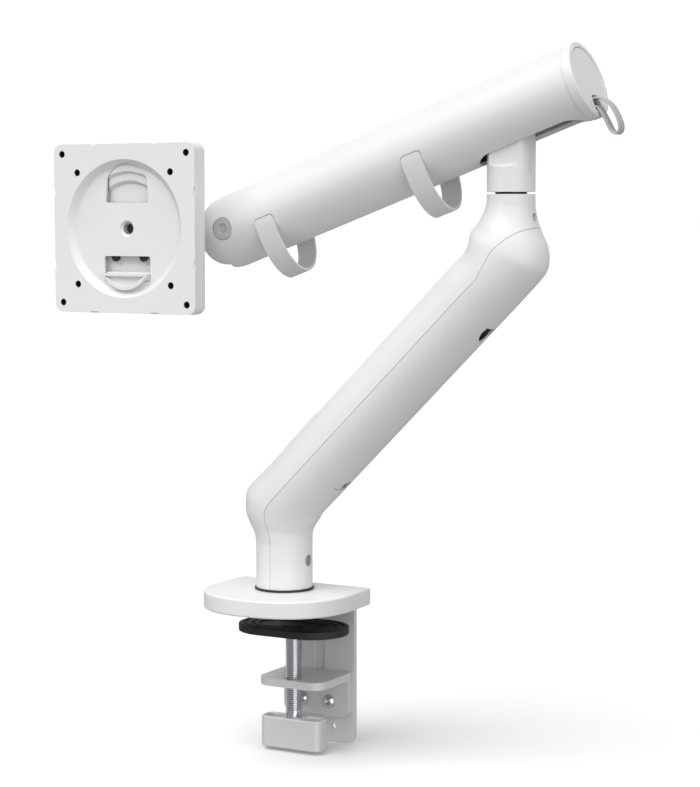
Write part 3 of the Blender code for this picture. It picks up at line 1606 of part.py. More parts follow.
def make_latch(place, seam):
    """Half-moon finger pull in the dish, on a tongue that slides in the lower window."""
    floor = PLATE_FACE_Y + DISH_DEPTH
    lip = arc((0, -0.0215), 0.0196, -140, -40, 10)
    moon = [(-LATCH_HALF, -0.0300), *lip, (LATCH_HALF, -0.0300)]
    pull = prism(moon, PLATE_FACE_Y + 0.0005, floor - GAP, "XZ")
    latch = add("release_latch", pull, PAINT["white"], location=place)
    tongue = box(
        (0.0006 - LATCH_HALF, floor - 0.0010, -0.0346),
        (LATCH_HALF - 0.0006, seam + 0.0014, -0.0302),
    )
    join(latch, "latch_tongue", tongue, location=place)
    flange = box(
        (-LATCH_HALF - 0.0018, seam + GAP, -0.0365),
        (LATCH_HALF + 0.0018, seam + 0.0018, -0.0290),
    )
    join(latch, "latch_flange", flange, location=place)
    inside = arc((0, -0.0215), 0.0174, -137, -43, 8)
    scoop = [(-0.0165, -0.0318), *inside, (0.0165, -0.0318)]
    depth = (PLATE_FACE_Y - SLIM, floor - 0.0008)
    cut(latch, "latch_scoop", prism(scoop, *depth, "XZ"), location=place)


clear_scene()
PARTS = collection("monitor_arm")
CUTTERS = collection("cutters")
PAINT = {
    "white": material("white_paint", (0.82, 0.82, 0.83), 0.42),
    "silver": material("silver_paint", (0.62, 0.62, 0.63), 0.38, 0.3),
    "steel": material("bright_steel", (0.60, 0.60, 0.62), 0.25, 1.0),
    "cast": material("cast_grey", (0.55, 0.55, 0.56), 0.5, 0.4),
    "rubber": material("black_rubber", (0.03, 0.03, 0.03), 0.7),
    "dark": material("dark_plastic", (0.08, 0.08, 0.08), 0.5),
    "grey": material("grey_plastic", (0.45, 0.46, 0.46), 0.5),
    "light_grey": material("loop_grey", (0.60, 0.60, 0.61), 0.5),
    "nylon": material("nylon", (0.75, 0.74, 0.70), 0.5),
}
TUBE_FRAME = empty("lift_axis", (ELBOW_X, 0, LIFT_Z), -SLOPE)
make_base()
make_bracket()
make_jaw()
make_clamp_screw()
make_post()
make_lower_arm()
make_elbow()
make_tube(TUBE_FRAME)
make_lift_gear(TUBE_FRAME)
make_level_rod()
make_head_bracket()
make_pan_fork()
make_tilt_block()
make_plate()
bpy.context.view_layer.update()
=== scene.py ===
"""Looks of a desk-clamped monitor arm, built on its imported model.

Run as a script it builds every visible piece, the finishes and a plain studio.
All lengths are in metres in the model's frame: the origin is on the post's axis at the
desk's surface, +Z is up and the desk lies towards -Y.
"""

import json
import math

import bmesh
import bpy
from mathutils import Matrix, Vector


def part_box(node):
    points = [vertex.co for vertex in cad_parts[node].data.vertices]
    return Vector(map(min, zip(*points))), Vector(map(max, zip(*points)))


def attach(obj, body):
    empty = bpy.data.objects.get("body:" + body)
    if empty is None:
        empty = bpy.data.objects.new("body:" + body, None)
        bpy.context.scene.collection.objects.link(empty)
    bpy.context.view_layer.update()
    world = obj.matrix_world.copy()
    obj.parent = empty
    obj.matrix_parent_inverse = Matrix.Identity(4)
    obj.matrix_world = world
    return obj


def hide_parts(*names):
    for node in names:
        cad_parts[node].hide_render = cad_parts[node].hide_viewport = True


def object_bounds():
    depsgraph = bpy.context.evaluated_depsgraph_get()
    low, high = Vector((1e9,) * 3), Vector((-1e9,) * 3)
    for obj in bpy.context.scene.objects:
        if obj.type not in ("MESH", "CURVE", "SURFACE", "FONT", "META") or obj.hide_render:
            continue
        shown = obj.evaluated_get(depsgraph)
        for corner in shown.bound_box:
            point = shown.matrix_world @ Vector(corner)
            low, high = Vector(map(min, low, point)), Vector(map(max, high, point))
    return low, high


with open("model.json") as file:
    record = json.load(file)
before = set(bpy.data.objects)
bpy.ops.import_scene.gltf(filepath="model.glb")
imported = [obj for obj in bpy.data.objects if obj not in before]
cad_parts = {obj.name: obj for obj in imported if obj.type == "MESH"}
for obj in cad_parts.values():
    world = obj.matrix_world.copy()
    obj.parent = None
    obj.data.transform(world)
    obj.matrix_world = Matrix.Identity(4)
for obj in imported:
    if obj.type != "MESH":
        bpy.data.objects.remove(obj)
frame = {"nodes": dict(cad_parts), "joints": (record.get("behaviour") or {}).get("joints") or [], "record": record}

bl_info = {
    "name": "Monitor arm",
    "version": (1, 0, 0),
    "blender": (4, 5, 0),
    "location": "3D View > Sidebar > Monitor Arm",
    "description": "Builds a desk-clamped monitor arm piece by piece",
    "category": "Object",
}

CAD_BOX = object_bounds()
JOINTS = {joint["name"]: joint for joint in frame["joints"]}
LIFT = Vector(JOINTS["arm_lift"]["pos_m"])
HEAD = Vector(JOINTS["head_level"]["pos_m"])
PAN = Vector(JOINTS["head_pan"]["pos_m"])
REACH = (LIFT - HEAD).length
SLOPE = math.atan2(LIFT.z - HEAD.z, LIFT.x - HEAD.x)
TUBE_PLACE = Matrix.Translation(LIFT) @ Matrix.Rotation(-SLOPE, 4, "Y")
HEAD_PLACE = Matrix.Translation(PAN)
SCREW_PLACE = Matrix.Translation((0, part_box("clamp_screw")[1][1] - 0.0082, 0))
BEND_Z = 0.071
SLEEVE_SCREW_Z = 0.0325
NECK_SCREW_Z = 0.2634
DIAGONAL = math.sqrt(0.5)
JAW_SCREW_X = 0.0109
LOOP_AT = (-0.1815, -0.0655)
HOLE_PITCHES = (0.100, 0.075)
WINDOW_CENTRE = (0, 0.0215)
WINDOW_R = 0.0180
SCOOP_CENTRE = (0, -0.0215)
TURN_TO = {
    "X": Matrix.Rotation(math.pi / 2, 4, "Y"),
    "Y": Matrix.Rotation(-math.pi / 2, 4, "X"),
    "Z": Matrix(),
}
SHADOW_GAP = 0.0003


# ---------------------------------------------------------------- what a user may change


def length(name, description, default, low=0.0001, high=0.3):
    return bpy.props.FloatProperty(
        name=name,
        description=description,
        default=default,
        min=low,
        max=high,
        unit="LENGTH",
        precision=5,
    )


def tint(name, description, default):
    return bpy.props.FloatVectorProperty(
        name=name,
        description=description,
        default=default,
        min=0.0,
        max=1.0,
        size=3,
        subtype="COLOR",
    )


class ArmSizes(bpy.types.PropertyGroup):
    """Sizes of the posts, tubes and plates."""

    edge: length("Edge", "Rounding along moulded and cast edges", 0.0006)
    base_half: length("Base half width", "Half the base plate's width", 0.0525)
    base_top: length("Base top", "Height of the base plate's top", 0.012)
    sleeve_radius: length("Sleeve radius", "Lower arm's sleeve on the post", 0.0192)
    arm_radius: length("Arm radius", "Half the lower arm's depth on its slope", 0.0243)
    neck_radius: length("Neck radius", "Lower arm's neck and the knuckle", 0.0154)
    neck_top: length("Neck top", "Height where the lower arm ends", 0.2784, high=0.5)
    tube_radius: length("Tube radius", "Upper arm's tube", 0.0246)
    tail_reach: length("Tail reach", "Lift pivot to the tube's open end", 0.0495)
    plate_half: length("Plate half width", "Half the screen plate's side", 0.0567)
    thread_pitch: length("Thread pitch", "Clamp screw's rise in one turn", 0.0015)


class ArmColours(bpy.types.PropertyGroup):
    """Colours of the finishes."""

    white: tint("White", "Painted arms, base and plate", (0.78, 0.78, 0.787))
    silver: tint("Silver", "Painted steel of the clamp", (0.66, 0.66, 0.668))
    steel: tint("Steel", "Bare screws and pins", (0.62, 0.62, 0.64))
    cast: tint("Cast", "Bare castings at the head", (0.50, 0.50, 0.51))
    rubber: tint("Rubber", "Pads on the desk", (0.018, 0.018, 0.019))
    # Dark paints real washers and is also painted shade: the sheet behind the arm's notches, the cups in the
    # plate's holes and the hub screw stand in for shadow.
    dark: tint("Dark", "Washers and linings", (0.02, 0.02, 0.021))
    grey: tint("Grey", "Pivot caps and pull tab", (0.48, 0.49, 0.495))
    loops: tint("Cable loops", "Springy straps under the tube", (0.68, 0.68, 0.69))
    nylon: tint("Nylon", "Bushes and friction discs", (0.70, 0.69, 0.65))
    floor: tint("Floor", "Studio floor", (0.97, 0.97, 0.97))


# ---------------------------------------------------------------- finishes

FINISHES = {}


def finish(name, colour, roughness, metallic=0.0, grain=900.0, depth=0.03, spread=0.03):
    """A finish whose colour, gloss and surface vary a little, as paint and mouldings do."""
    made = bpy.data.materials.new(name)
    made.use_nodes = True
    nodes = made.node_tree.nodes
    links = made.node_tree.links
    shader = nodes["Principled BSDF"]
    shader.inputs["Metallic"].default_value = metallic
    place = nodes.new("ShaderNodeTexCoord")
    broad = nodes.new("ShaderNodeTexNoise")
    broad.inputs["Scale"].default_value = 14.0
    broad.inputs["Detail"].default_value = 3.0
    links.new(place.outputs["Object"], broad.inputs["Vector"])
    shades = nodes.new("ShaderNodeValToRGB")
    shades.color_ramp.elements[0].position = 0.3
    shades.color_ramp.elements[1].position = 0.7
    darker = [c * (1.0 - spread) for c in colour]
    lighter = [min(1.0, c * (1.0 + spread)) for c in colour]
    shades.color_ramp.elements[0].color = (*darker, 1.0)
    shades.color_ramp.elements[1].color = (*lighter, 1.0)
    links.new(broad.outputs["Fac"], shades.inputs["Fac"])
    links.new(shades.outputs["Color"], shader.inputs["Base Color"])
    fine = nodes.new("ShaderNodeTexNoise")
    fine.inputs["Scale"].default_value = grain
    fine.inputs["Detail"].default_value = 2.0
    links.new(place.outputs["Object"], fine.inputs["Vector"])
    gloss = nodes.new("ShaderNodeMapRange")
    gloss.inputs["To Min"].default_value = max(0.02, roughness - 0.05)
    gloss.inputs["To Max"].default_value = min(1.0, roughness + 0.05)
    links.new(fine.outputs["Fac"], gloss.inputs["Value"])
    links.new(gloss.outputs["Result"], shader.inputs["Roughness"])
    bump = nodes.new("ShaderNodeBump")
    bump.inputs["Strength"].default_value = depth
    bump.inputs["Distance"].default_value = 0.0002
    links.new(fine.outputs["Fac"], bump.inputs["Height"])
    links.new(bump.outputs["Normal"], shader.inputs["Normal"])
    FINISHES[name] = made
    return made


def brushed(name, colour, roughness):
    """Bare metal with fine turning marks that run around the piece."""
    made = finish(name, colour, roughness, 1.0, 1200.0, 0.02, 0.05)
    nodes = made.node_tree.nodes
    links = made.node_tree.links
    place = nodes["Texture Coordinate"]
    stretch = nodes.new("ShaderNodeMapping")
    stretch.inputs["Scale"].default_value = (1.0, 1.0, 30.0)
    marks = nodes.new("ShaderNodeTexNoise")
    marks.inputs["Scale"].default_value = 220.0
    marks.inputs["Detail"].default_value = 4.0
    links.new(place.outputs["Object"], stretch.inputs["Vector"])
    links.new(stretch.outputs["Vector"], marks.inputs["Vector"])
    links.new(marks.outputs["Fac"], nodes["Map Range"].inputs["Value"])


def make_finishes(colours):
    finish("white_paint", colours.white, 0.36, 0.0, 1500.0, 0.05, 0.012)
    finish("silver_paint", colours.silver, 0.40, 0.15, 2200.0, 0.10, 0.03)
    brushed("bright_steel", colours.steel, 0.2)
    finish("cast_grey", colours.cast, 0.48, 0.6, 1300.0, 0.18, 0.05)
    finish("black_rubber", colours.rubber, 0.62, 0.0, 1800.0, 0.25, 0.20)
    # dark_plastic also serves as painted shade for the notch sheet, the hole cups and the hub screw.
    finish("dark_plastic", colours.dark, 0.45, 0.0, 1600.0, 0.08, 0.10)
    finish("grey_plastic", colours.grey, 0.48, 0.0, 1600.0, 0.10, 0.03)
    finish("loop_grey", colours.loops, 0.42, 0.0, 1500.0, 0.06, 0.02)
    finish("nylon", colours.nylon, 0.5, 0.0, 1500.0, 0.05, 0.03)


# ---------------------------------------------------------------- shapes


def face_out(shape):
    """Turns every face of a closed shape outwards."""
    bmesh.ops.recalc_face_normals(shape, faces=shape.faces)
    if shape.calc_volume(signed=True) < 0:
        bmesh.ops.reverse_faces(shape, faces=shape.faces)
    return shape


def turn_shape(shape, axis):
    bmesh.ops.transform(shape, matrix=TURN_TO[axis], verts=shape.verts)
    return shape


def round_edges(shape, width, segments=2, angle=50):
    """Bevels the edges where two faces meet at more than an angle."""
    sharp = [
        edge
        for edge in shape.edges
        if len(edge.link_faces) == 2
        and edge.calc_face_angle(0.0) > math.radians(angle)
    ]
    if sharp and width > 0:
        bmesh.ops.bevel(
            shape,
            geom=sharp,
            offset=width,
            offset_type="OFFSET",
            affect="EDGES",
            segments=segments,
            profile=0.5,
            material=-1,
            clamp_overlap=True,
        )
    return shape


def rod(radius, low, high, sides=48, axis="Z", top_radius=None, edge=0.0, segments=2):
    """A cylinder or cone from low to high along an axis, its rims rounded."""
    shape = bmesh.new()
    bmesh.ops.create_cone(
        shape,
        cap_ends=True,
        segments=sides,
        radius1=radius,
        radius2=radius if top_radius is None else top_radius,
        depth=high - low,
    )
    bmesh.ops.translate(shape, verts=shape.verts, vec=(0, 0, (low + high) / 2))
    round_edges(shape, edge, segments)
    return turn_shape(shape, axis)


def block(low, high, corner=0.0, along="Z", segments=6, edge=0.0):
    """A box whose four edges along one axis are rounded, then its rims."""
    shape = bmesh.new()
    bmesh.ops.create_cube(shape, size=1.0)
    size = [end - start for start, end in zip(low, high)]
    middle = [(end + start) / 2 for start, end in zip(low, high)]
    bmesh.ops.scale(shape, vec=size, verts=shape.verts)
    bmesh.ops.translate(shape, vec=middle, verts=shape.verts)
    if corner > 0:
        way = Vector((along == "X", along == "Y", along == "Z"))
        upright = [
            line
            for line in shape.edges
            if abs((line.verts[1].co - line.verts[0].co).normalized().dot(way)) > 0.9
        ]
        bmesh.ops.bevel(
            shape,
            geom=upright,
            offset=corner,
            offset_type="OFFSET",
            affect="EDGES",
            segments=segments,
            profile=0.5,
            material=-1,
        )
    return round_edges(shape, edge)


def slab(outline, low, high, plane="XY", edge=0.0, segments=2, angle=50):
    """A flat outline drawn out to a thickness: across Z, Y or X for XY, XZ or YZ."""
    shape = bmesh.new()
    corners = [shape.verts.new((a, b, low)) for a, b in outline]
    rim = [shape.edges.new(pair) for pair in zip(corners, corners[1:] + corners[:1])]
    face = bmesh.ops.edgeloop_fill(shape, edges=rim)["faces"]
    drawn = bmesh.ops.extrude_face_region(shape, geom=face)
    moved = [item for item in drawn["geom"] if isinstance(item, bmesh.types.BMVert)]
    bmesh.ops.translate(shape, verts=moved, vec=(0, 0, high - low))
    face_out(shape)
    round_edges(shape, edge, segments, angle)
    places = {
        "XY": Matrix(),
        "XZ": Matrix.Translation((0, low + high, 0)) @ Matrix.Rotation(math.pi / 2, 4, "X"),
        "YZ": Matrix.Rotation(math.pi / 2, 4, "Z") @ Matrix.Rotation(math.pi / 2, 4, "X"),
    }
    bmesh.ops.transform(shape, matrix=places[plane], verts=shape.verts)
    return shape


def lathe(profile, sides=64, axis="Z", closed=False):
    """A profile of (radius, height) spun once round an axis."""
    shape = bmesh.new()
    line = [shape.verts.new((radius, 0, height)) for radius, height in profile]
    edges = [shape.edges.new(pair) for pair in zip(line, line[1:])]
    if closed:
        edges.append(shape.edges.new((line[-1], line[0])))
    bmesh.ops.spin(
        shape,
        geom=line + edges,
        cent=(0, 0, 0),
        axis=(0, 0, 1),
        angle=2 * math.pi,
        steps=sides,
        use_merge=True,
    )
    bmesh.ops.remove_doubles(shape, verts=shape.verts, dist=1e-6)
    return turn_shape(face_out(shape), axis)


def arc(centre, radius, start, end, steps):
    """Points on a circle between two angles in degrees."""
    angles = [math.radians(start + (end - start) * i / steps) for i in range(steps + 1)]
    return [
        (centre[0] + radius * math.cos(a), centre[1] + radius * math.sin(a))
        for a in angles
    ]


def smooth_line(points, steps):
    """Points along a smooth curve through the points given, of any dimension."""
    points = [Vector(p) for p in points]
    line = []
    for i in range(len(points) - 1):
        before = points[max(i - 1, 0)]
        here, there = points[i], points[i + 1]
        after = points[min(i + 2, len(points) - 1)]
        for j in range(steps):
            t = j / steps
            point = (there - before) * t
            point += (2 * before - 5 * here + 4 * there - after) * t**2
            point += (3 * here - before - 3 * there + after) * t**3
            line.append(here + point / 2)
    return line + [points[-1]]


def ribbon(line, thickness):
    """The outline of a strip of even thickness that follows a flat line."""
    left, right = [], []
    for i, point in enumerate(line):
        way = (line[min(i + 1, len(line) - 1)] - line[max(i - 1, 0)]).normalized()
        across = Vector((-way.y, way.x)) * thickness / 2
        left.append(tuple(point + across))
        right.append(tuple(point - across))
    return left + right[::-1]


def placed(shape, matrix):
    bmesh.ops.transform(shape, matrix=matrix, verts=shape.verts)
    return shape


def shifted(shape, x=0, y=0, z=0):
    return placed(shape, Matrix.Translation((x, y, z)))


def merged(shapes):
    """Several closed shapes as one."""
    whole = bmesh.new()
    for shape in shapes:
        mesh = bpy.data.meshes.new("part")
        shape.to_mesh(mesh)
        shape.free()
        whole.from_mesh(mesh)
        bpy.data.meshes.remove(mesh)
    return whole


def work_object(shape):
    mesh = bpy.data.meshes.new("work")
    shape.to_mesh(mesh)
    shape.free()
    made = bpy.data.objects.new("work", mesh)
    bpy.context.scene.collection.objects.link(made)
    return made


def combine(shape, tool, operation="DIFFERENCE"):
    """One closed shape cut by, joined to or kept inside another."""
    base = work_object(shape)
    other = work_object(tool)
    change = base.modifiers.new("combine", "BOOLEAN")
    change.operation = operation
    change.solver = "EXACT"
    change.object = other
    bpy.context.view_layer.update()
    seen = base.evaluated_get(bpy.context.evaluated_depsgraph_get())
    result = bmesh.new()
    result.from_mesh(seen.to_mesh())
    seen.to_mesh_clear()
    for thing in (base, other):
        mesh = thing.data
        bpy.data.objects.remove(thing, do_unlink=True)
        bpy.data.meshes.remove(mesh)
    bmesh.ops.remove_doubles(result, verts=result.verts, dist=2e-6)
    return result


def piece(name, shape, body, finish_name, replaced=(), edge=0.0, angle=38):
    """Adds a finished shape to the model, riding on a body in place of CAD nodes."""
    if edge == 0:
        many = [face for face in shape.faces if len(face.verts) > 4]
        bmesh.ops.triangulate(shape, faces=many)
    mesh = bpy.data.meshes.new(name)
    shape.to_mesh(mesh)
    shape.free()
    mesh.materials.append(FINISHES[finish_name])
    made = bpy.data.objects.new(name, mesh)
    bpy.context.scene.collection.objects.link(made)
    mesh.shade_smooth()
    mesh.set_sharp_from_angle(angle=math.radians(angle))
    if edge > 0:
        soft = made.modifiers.new("rounded edges", "BEVEL")
        soft.width = edge
        soft.segments = 2
        soft.limit_method = "ANGLE"
        soft.angle_limit = math.radians(angle)
        soft.use_clamp_overlap = True
    flat = made.modifiers.new("flat faces", "WEIGHTED_NORMAL")
    flat.keep_sharp = True
    flat.weight = 100
    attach(made, body)
    if replaced:
        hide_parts(*replaced)


# ---------------------------------------------------------------- base and clamp


def base_outline(half, inset=0.0, steps=48):
    """Squarish round front, nearly straight sides and a flat back."""
    power = 2 / 2.35
    corner = half - 0.0017 - inset
    back = 0.030 - inset
    front = []
    for i in range(steps + 1):
        angle = math.pi + math.pi * i / steps
        c, s = math.cos(angle), math.sin(angle)
        x = math.copysign((half - inset) * abs(c) ** power, c)
        front.append((x, -(half - inset) * abs(s) ** power))
    return front + [(corner, back), (-corner, back)]


class ARM_OT_base(bpy.types.Operator):
    """Build the base plate and the steel angle behind the desk's edge"""

    bl_idname = "monitor_arm.base"
    bl_label = "Base and angle"

    def execute(self, context):
        sizes = context.scene.monitor_arm_sizes
        plate = slab(
            base_outline(sizes.base_half), SHADOW_GAP, sizes.base_top, "XY", 0.0013, 4, 60
        )
        pocket = block((-0.028, -0.0263, -0.001), (0.028, 0.033, 0.0058))
        plate = combine(plate, pocket)
        pad = slab(base_outline(sizes.base_half, 0.0037), -0.001, 0.0015)
        plate = combine(plate, pad)
        piece("base_cover", plate, "stand", "white_paint", ["base_plate"])
        back = 0.052
        side_view = [(-0.026, 0.0015), (0.046, 0.0015)]
        side_view += arc((0.046, -0.0005), 0.002, 90, 0, 6)[1:]
        side_view += [(0.048, -0.103), (back, -0.103)]
        side_view += arc((back - 0.006, -0.0005), 0.006, 0, 90, 8)
        side_view += [(-0.026, 0.0055)]
        angle = slab(side_view, -0.0277, 0.0277, "YZ")
        corners = block((-0.0277, -0.03, -0.103), (0.0277, 0.06, 0.05), 0.006, "Y", 8)
        angle = combine(angle, corners, "INTERSECT")
        groove = block((-0.004, 0.0465, -0.057), (0.004, 0.0494, -0.004), 0.0039, "Y", 6)
        angle = combine(angle, groove)
        for x in (-JAW_SCREW_X, JAW_SCREW_X):
            hole = rod(0.0021, 0.046, 0.054, 24, "Y")
            angle = combine(angle, shifted(hole, x, z=-0.0928))
        piece("steel_angle", angle, "stand", "silver_paint", ["clamp_bracket"], 0.0005)
        return {"FINISHED"}


class ARM_OT_jaw(bpy.types.Operator):
    """Build the lower jaw and the domed screws that hold it"""

    bl_idname = "monitor_arm.jaw"
    bl_label = "Jaw"

    def execute(self, context):
        half, front, back = 0.0258, 0.0033, 0.0477
        shelf = arc((half - 0.011, front + 0.011), 0.011, -90, 0, 12)
        shelf += [(half, back), (-half, back)]
        shelf += arc((0.011 - half, front + 0.011), 0.011, 180, 270, 12)
        jaw = slab(shelf, -0.058, -0.0527)
        flange = block((-half, 0.0427, -0.084), (half, back, -0.053), 0.0055, "Y", 6)
        jaw = combine(jaw, flange, "UNION")
        bore = placed(rod(0.0058, -0.07, -0.04, 40), SCREW_PLACE)
        jaw = combine(jaw, bore)
        piece("jaw", jaw, "stand", "silver_paint", ["clamp_jaw"], 0.0005)
        radius, height = 0.0048, 0.0036
        for side, x in (("left", -JAW_SCREW_X), ("right", JAW_SCREW_X)):
            dome = [(0.0, height)]
            for i in range(1, 8):
                a = math.pi / 2 * i / 8
                dome.append((radius * math.sin(a), height * math.cos(a) ** 0.8))
            dome += [(radius, 0.0), (0.0, 0.0)]
            head = lathe(dome, 40)
            hexagon = rod(0.0017, 0.0016, 0.006, 6)
            head = combine(head, hexagon)
            turn = Matrix.Rotation(math.pi / 2, 4, "X")
            place = Matrix.Translation((x, 0.0424, -0.0738)) @ turn
            shank = rod(0.0024, -0.009, 0.0004, 24)
            head = placed(merged([head, shank]), place)
            name = f"domed_screw_{side}"
            piece(name, head, "stand", "bright_steel", [f"jaw_screw_{side}"])
        return {"FINISHED"}


class ARM_OT_clamp_screw(bpy.types.Operator):
    """Build the grooved pad, the threaded rod and the T-shaped knob"""

    bl_idname = "monitor_arm.clamp_screw"
    bl_label = "Clamp screw"

    def execute(self, context):
        sizes = context.scene.monitor_arm_sizes
        self.add_pad()
        self.add_rod(sizes.thread_pitch)
        self.add_knob(sizes.edge)
        return {"FINISHED"}

    def add_pad(self):
        """Rubber with round ends; its top is set in and let down by turns to cut the grooves."""
        low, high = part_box("clamp_pad")
        half = (high[1] - low[1]) / 2
        straight = (high[0] - low[0]) / 2 - half
        outline = arc((straight, 0), half, -90, 90, 24)
        outline += arc((-straight, 0), half, 90, 270, 24)
        pad = slab(outline, low[2], high[2], "XY", 0.0006, 2, 60)
        top = max(pad.faces, key=lambda f: f.calc_center_median().z + f.calc_area())
        wall, groove = 0.0004, 0.0009
        for width, sink in (
            (0.0022, 0.0),
            (wall, -groove),
            (0.0016, 0.0),
            (wall, groove),
            (0.0034, 0.0),
            (wall, -groove),
            (0.0016, 0.0),
            (wall, groove),
            (0.0030, 0.0),
            (wall, -groove),
        ):
            bmesh.ops.inset_region(pad, faces=[top], thickness=width, depth=0.0)
            if sink:
                bmesh.ops.translate(pad, verts=top.verts, vec=(0, 0, sink))
        socket = rod(0.0108, low[2] - 0.001, high[2] - 0.0014, 40)
        pad = combine(pad, socket)
        boss = rod(0.0082, high[2] - 0.0010, high[2] - 0.0001, 48, edge=0.0003)
        pad = combine(pad, boss, "UNION")
        pad = placed(pad, SCREW_PLACE)
        piece("rubber_pad", pad, "clamp_slider", "black_rubber", ["clamp_pad"])

    def add_rod(self, pitch):
        low, high = -0.0760, -0.0224
        button_top, button_low, button = -0.0178, -0.0187, 0.0079
        neck, core, crest, foot = 0.0040, 0.00462, 0.00548, 0.0049
        root = core - 0.0003
        bottom = -0.0935
        profile = [
            (0.0, button_top),
            (button, button_top),
            (button, button_low),
            (neck, button_low),
            (neck, -0.0212),
            (core, high),
            (core, low),
            (foot, low),
            (foot, bottom),
            (0.0, bottom),
        ]
        shaft = lathe(profile, 48)
        steps = 32
        turns = int((high - low) / pitch) - 1
        thread = bmesh.new()
        section = [
            thread.verts.new((root, 0, low)),
            thread.verts.new((crest, 0, low + 0.38 * pitch)),
            thread.verts.new((crest, 0, low + 0.52 * pitch)),
            thread.verts.new((root, 0, low + 0.90 * pitch)),
        ]
        start = bmesh.ops.contextual_create(thread, geom=section)["faces"]
        bmesh.ops.spin(
            thread,
            geom=start,
            cent=(0, 0, 0),
            axis=(0, 0, 1),
            dvec=(0, 0, pitch / steps),
            angle=2 * math.pi * turns,
            steps=steps * turns,
            use_merge=False,
        )
        face_out(thread)
        whole = placed(merged([shaft, thread]), SCREW_PLACE)
        piece("threaded_rod", whole, "clamp_turner", "bright_steel", ["clamp_screw"], angle=30)

    def add_knob(self, edge):
        half, deep, wall = 0.02375, 0.0075, 0.0024
        low, high = -0.1009, -0.0797
        knob = block((-half, -deep, low), (half, deep, high), 0.0058, "Z", 8)
        for sign in (-1, 1):
            ends = sorted((sign * 0.0082, sign * (half - wall)))
            floor = (ends[0], wall - deep, high - 0.012)
            mouth = (ends[1], deep - wall, high + 0.001)
            knob = combine(knob, block(floor, mouth, 0.003, "Z", 5))
        knob = combine(knob, rod(0.0052, low + 0.0067, high + 0.001, 40))
        knob = placed(knob, SCREW_PLACE)
        piece("knob", knob, "clamp_turner", "silver_paint", ["clamp_knob"], edge)


# ---------------------------------------------------------------- lower arm


def arm_rings(sizes, inset=0.0, steps=5):
    """Rings up the lower arm as (left x, left z, right x, right z, half width)."""
    s, r, n = sizes.sleeve_radius, sizes.arm_radius, sizes.neck_radius
    top, reach = sizes.neck_top, LIFT.x
    high_z = BEND_Z + reach
    overrun = 0.0015 if inset else 0.0
    start, end = 0.0136 - overrun, top + overrun

    def slope(distance, half):
        x, z = distance * DIAGONAL, BEND_Z + distance * DIAGONAL
        across = half * DIAGONAL
        return (x - across, z + across, x + across, z - across, half)

    run = reach * math.sqrt(2)
    sleeve_top = 0.047
    lower = [
        (-s, sleeve_top - 0.004, s, sleeve_top - 0.004, s),
        (-s - 0.0012, 0.0510, s, sleeve_top, s + 0.0006),
        (-s - 0.0045, 0.0570, s + 0.0002, 0.0505, 0.0206),
        (-0.0268, 0.0655, s + 0.0013, 0.0535, 0.0222),
        (-0.0268, 0.0745, s + 0.0032, 0.0565, 0.0232),
        (-0.0238, 0.0825, s + 0.0058, 0.0600, 0.0239),
        slope(0.014, r),
        slope(0.030, r),
    ]
    upper = [
        slope(run - 0.032, r),
        slope(run - 0.016, r),
        (reach - n - 0.0105, top - 0.0235, reach + 0.0212, high_z - 0.0125, 0.0240),
        (reach - n - 0.0068, top - 0.0190, reach + 0.0248, high_z - 0.0042, 0.0228),
        (reach - n - 0.0038, top - 0.0145, reach + 0.0242, high_z + 0.0060, 0.0206),
        (reach - n - 0.0016, top - 0.0100, reach + 0.0203, high_z + 0.0150, 0.0180),
        (reach - n - 0.0004, top - 0.0060, reach + 0.0172, high_z + 0.0232, 0.0163),
        (reach - n, top - 0.0030, reach + n + 0.0002, top - 0.0085, n),
    ]
    rings = [Vector((-s, start, s, start, s))]
    rings += smooth_line(lower, steps)
    rings += smooth_line(upper, steps)
    rings.append(Vector((reach - n, end, reach + n, end, n)))
    shrunk = []
    for left_x, left_z, right_x, right_z, half in rings:
        left, right = Vector((left_x, left_z)), Vector((right_x, right_z))
        way = (right - left).normalized() * inset
        left, right = left + way, right - way
        shrunk.append((left, right, half - inset))
    return shrunk


def arm_loft(sizes, inset=0.0, sides=72, steps=5):
    """A closed skin over the arm's rings, each a circle stretched to an ellipse."""
    shape = bmesh.new()
    loops = []
    for left, right, half in arm_rings(sizes, inset, steps):
        made = bmesh.ops.create_circle(shape, cap_ends=False, segments=sides, radius=1.0)
        middle, reach = (left + right) / 2, (right - left) / 2
        place = Matrix(
            (
                (reach.x, 0, 0, middle.x),
                (0, -half, 0, 0),
                (reach.y, 0, 0, middle.y),
                (0, 0, 0, 1),
            )
        )
        bmesh.ops.transform(shape, matrix=place, verts=made["verts"])
        loops.append(list({edge for vert in made["verts"] for edge in vert.link_edges}))
    for below, above in zip(loops, loops[1:]):
        bmesh.ops.bridge_loops(shape, edges=below + above)
    for loop in (loops[0], loops[-1]):
        bmesh.ops.edgeloop_fill(shape, edges=loop)
    return face_out(shape)


def seam_line():
    """The line that parts the two shells, bottom to top, in the XZ plane."""
    high_z = BEND_Z + LIFT.x
    run = LIFT.x * math.sqrt(2)

    def slope(distance):
        return (distance * DIAGONAL, BEND_Z + distance * DIAGONAL)

    foot = [
        (0, 0.010),
        (0, 0.030),
        (0, 0.047),
        (-0.0010, 0.0555),
        (-0.0020, 0.0620),
        (-0.0012, 0.0680),
        slope(0.005),
        slope(0.012),
    ]
    top = [
        slope(run - 0.040),
        slope(run - 0.030),
        slope(run - 0.018),
        (LIFT.x - 0.0035, high_z + 0.0032),
        (LIFT.x + 0.0060, high_z + 0.0118),
        (LIFT.x + 0.0160, high_z + 0.0178),
        (LIFT.x + 0.0300, high_z + 0.0205),
        (LIFT.x + 0.060, high_z + 0.0215),
    ]
    return smooth_line(foot, 3) + smooth_line(top, 3)


def on_slope():
    """Places a shape made along X onto the lower arm's slope, from its lower bend."""
    return Matrix.Translation((0, 0, BEND_Z)) @ Matrix.Rotation(-math.pi / 4, 4, "Y")


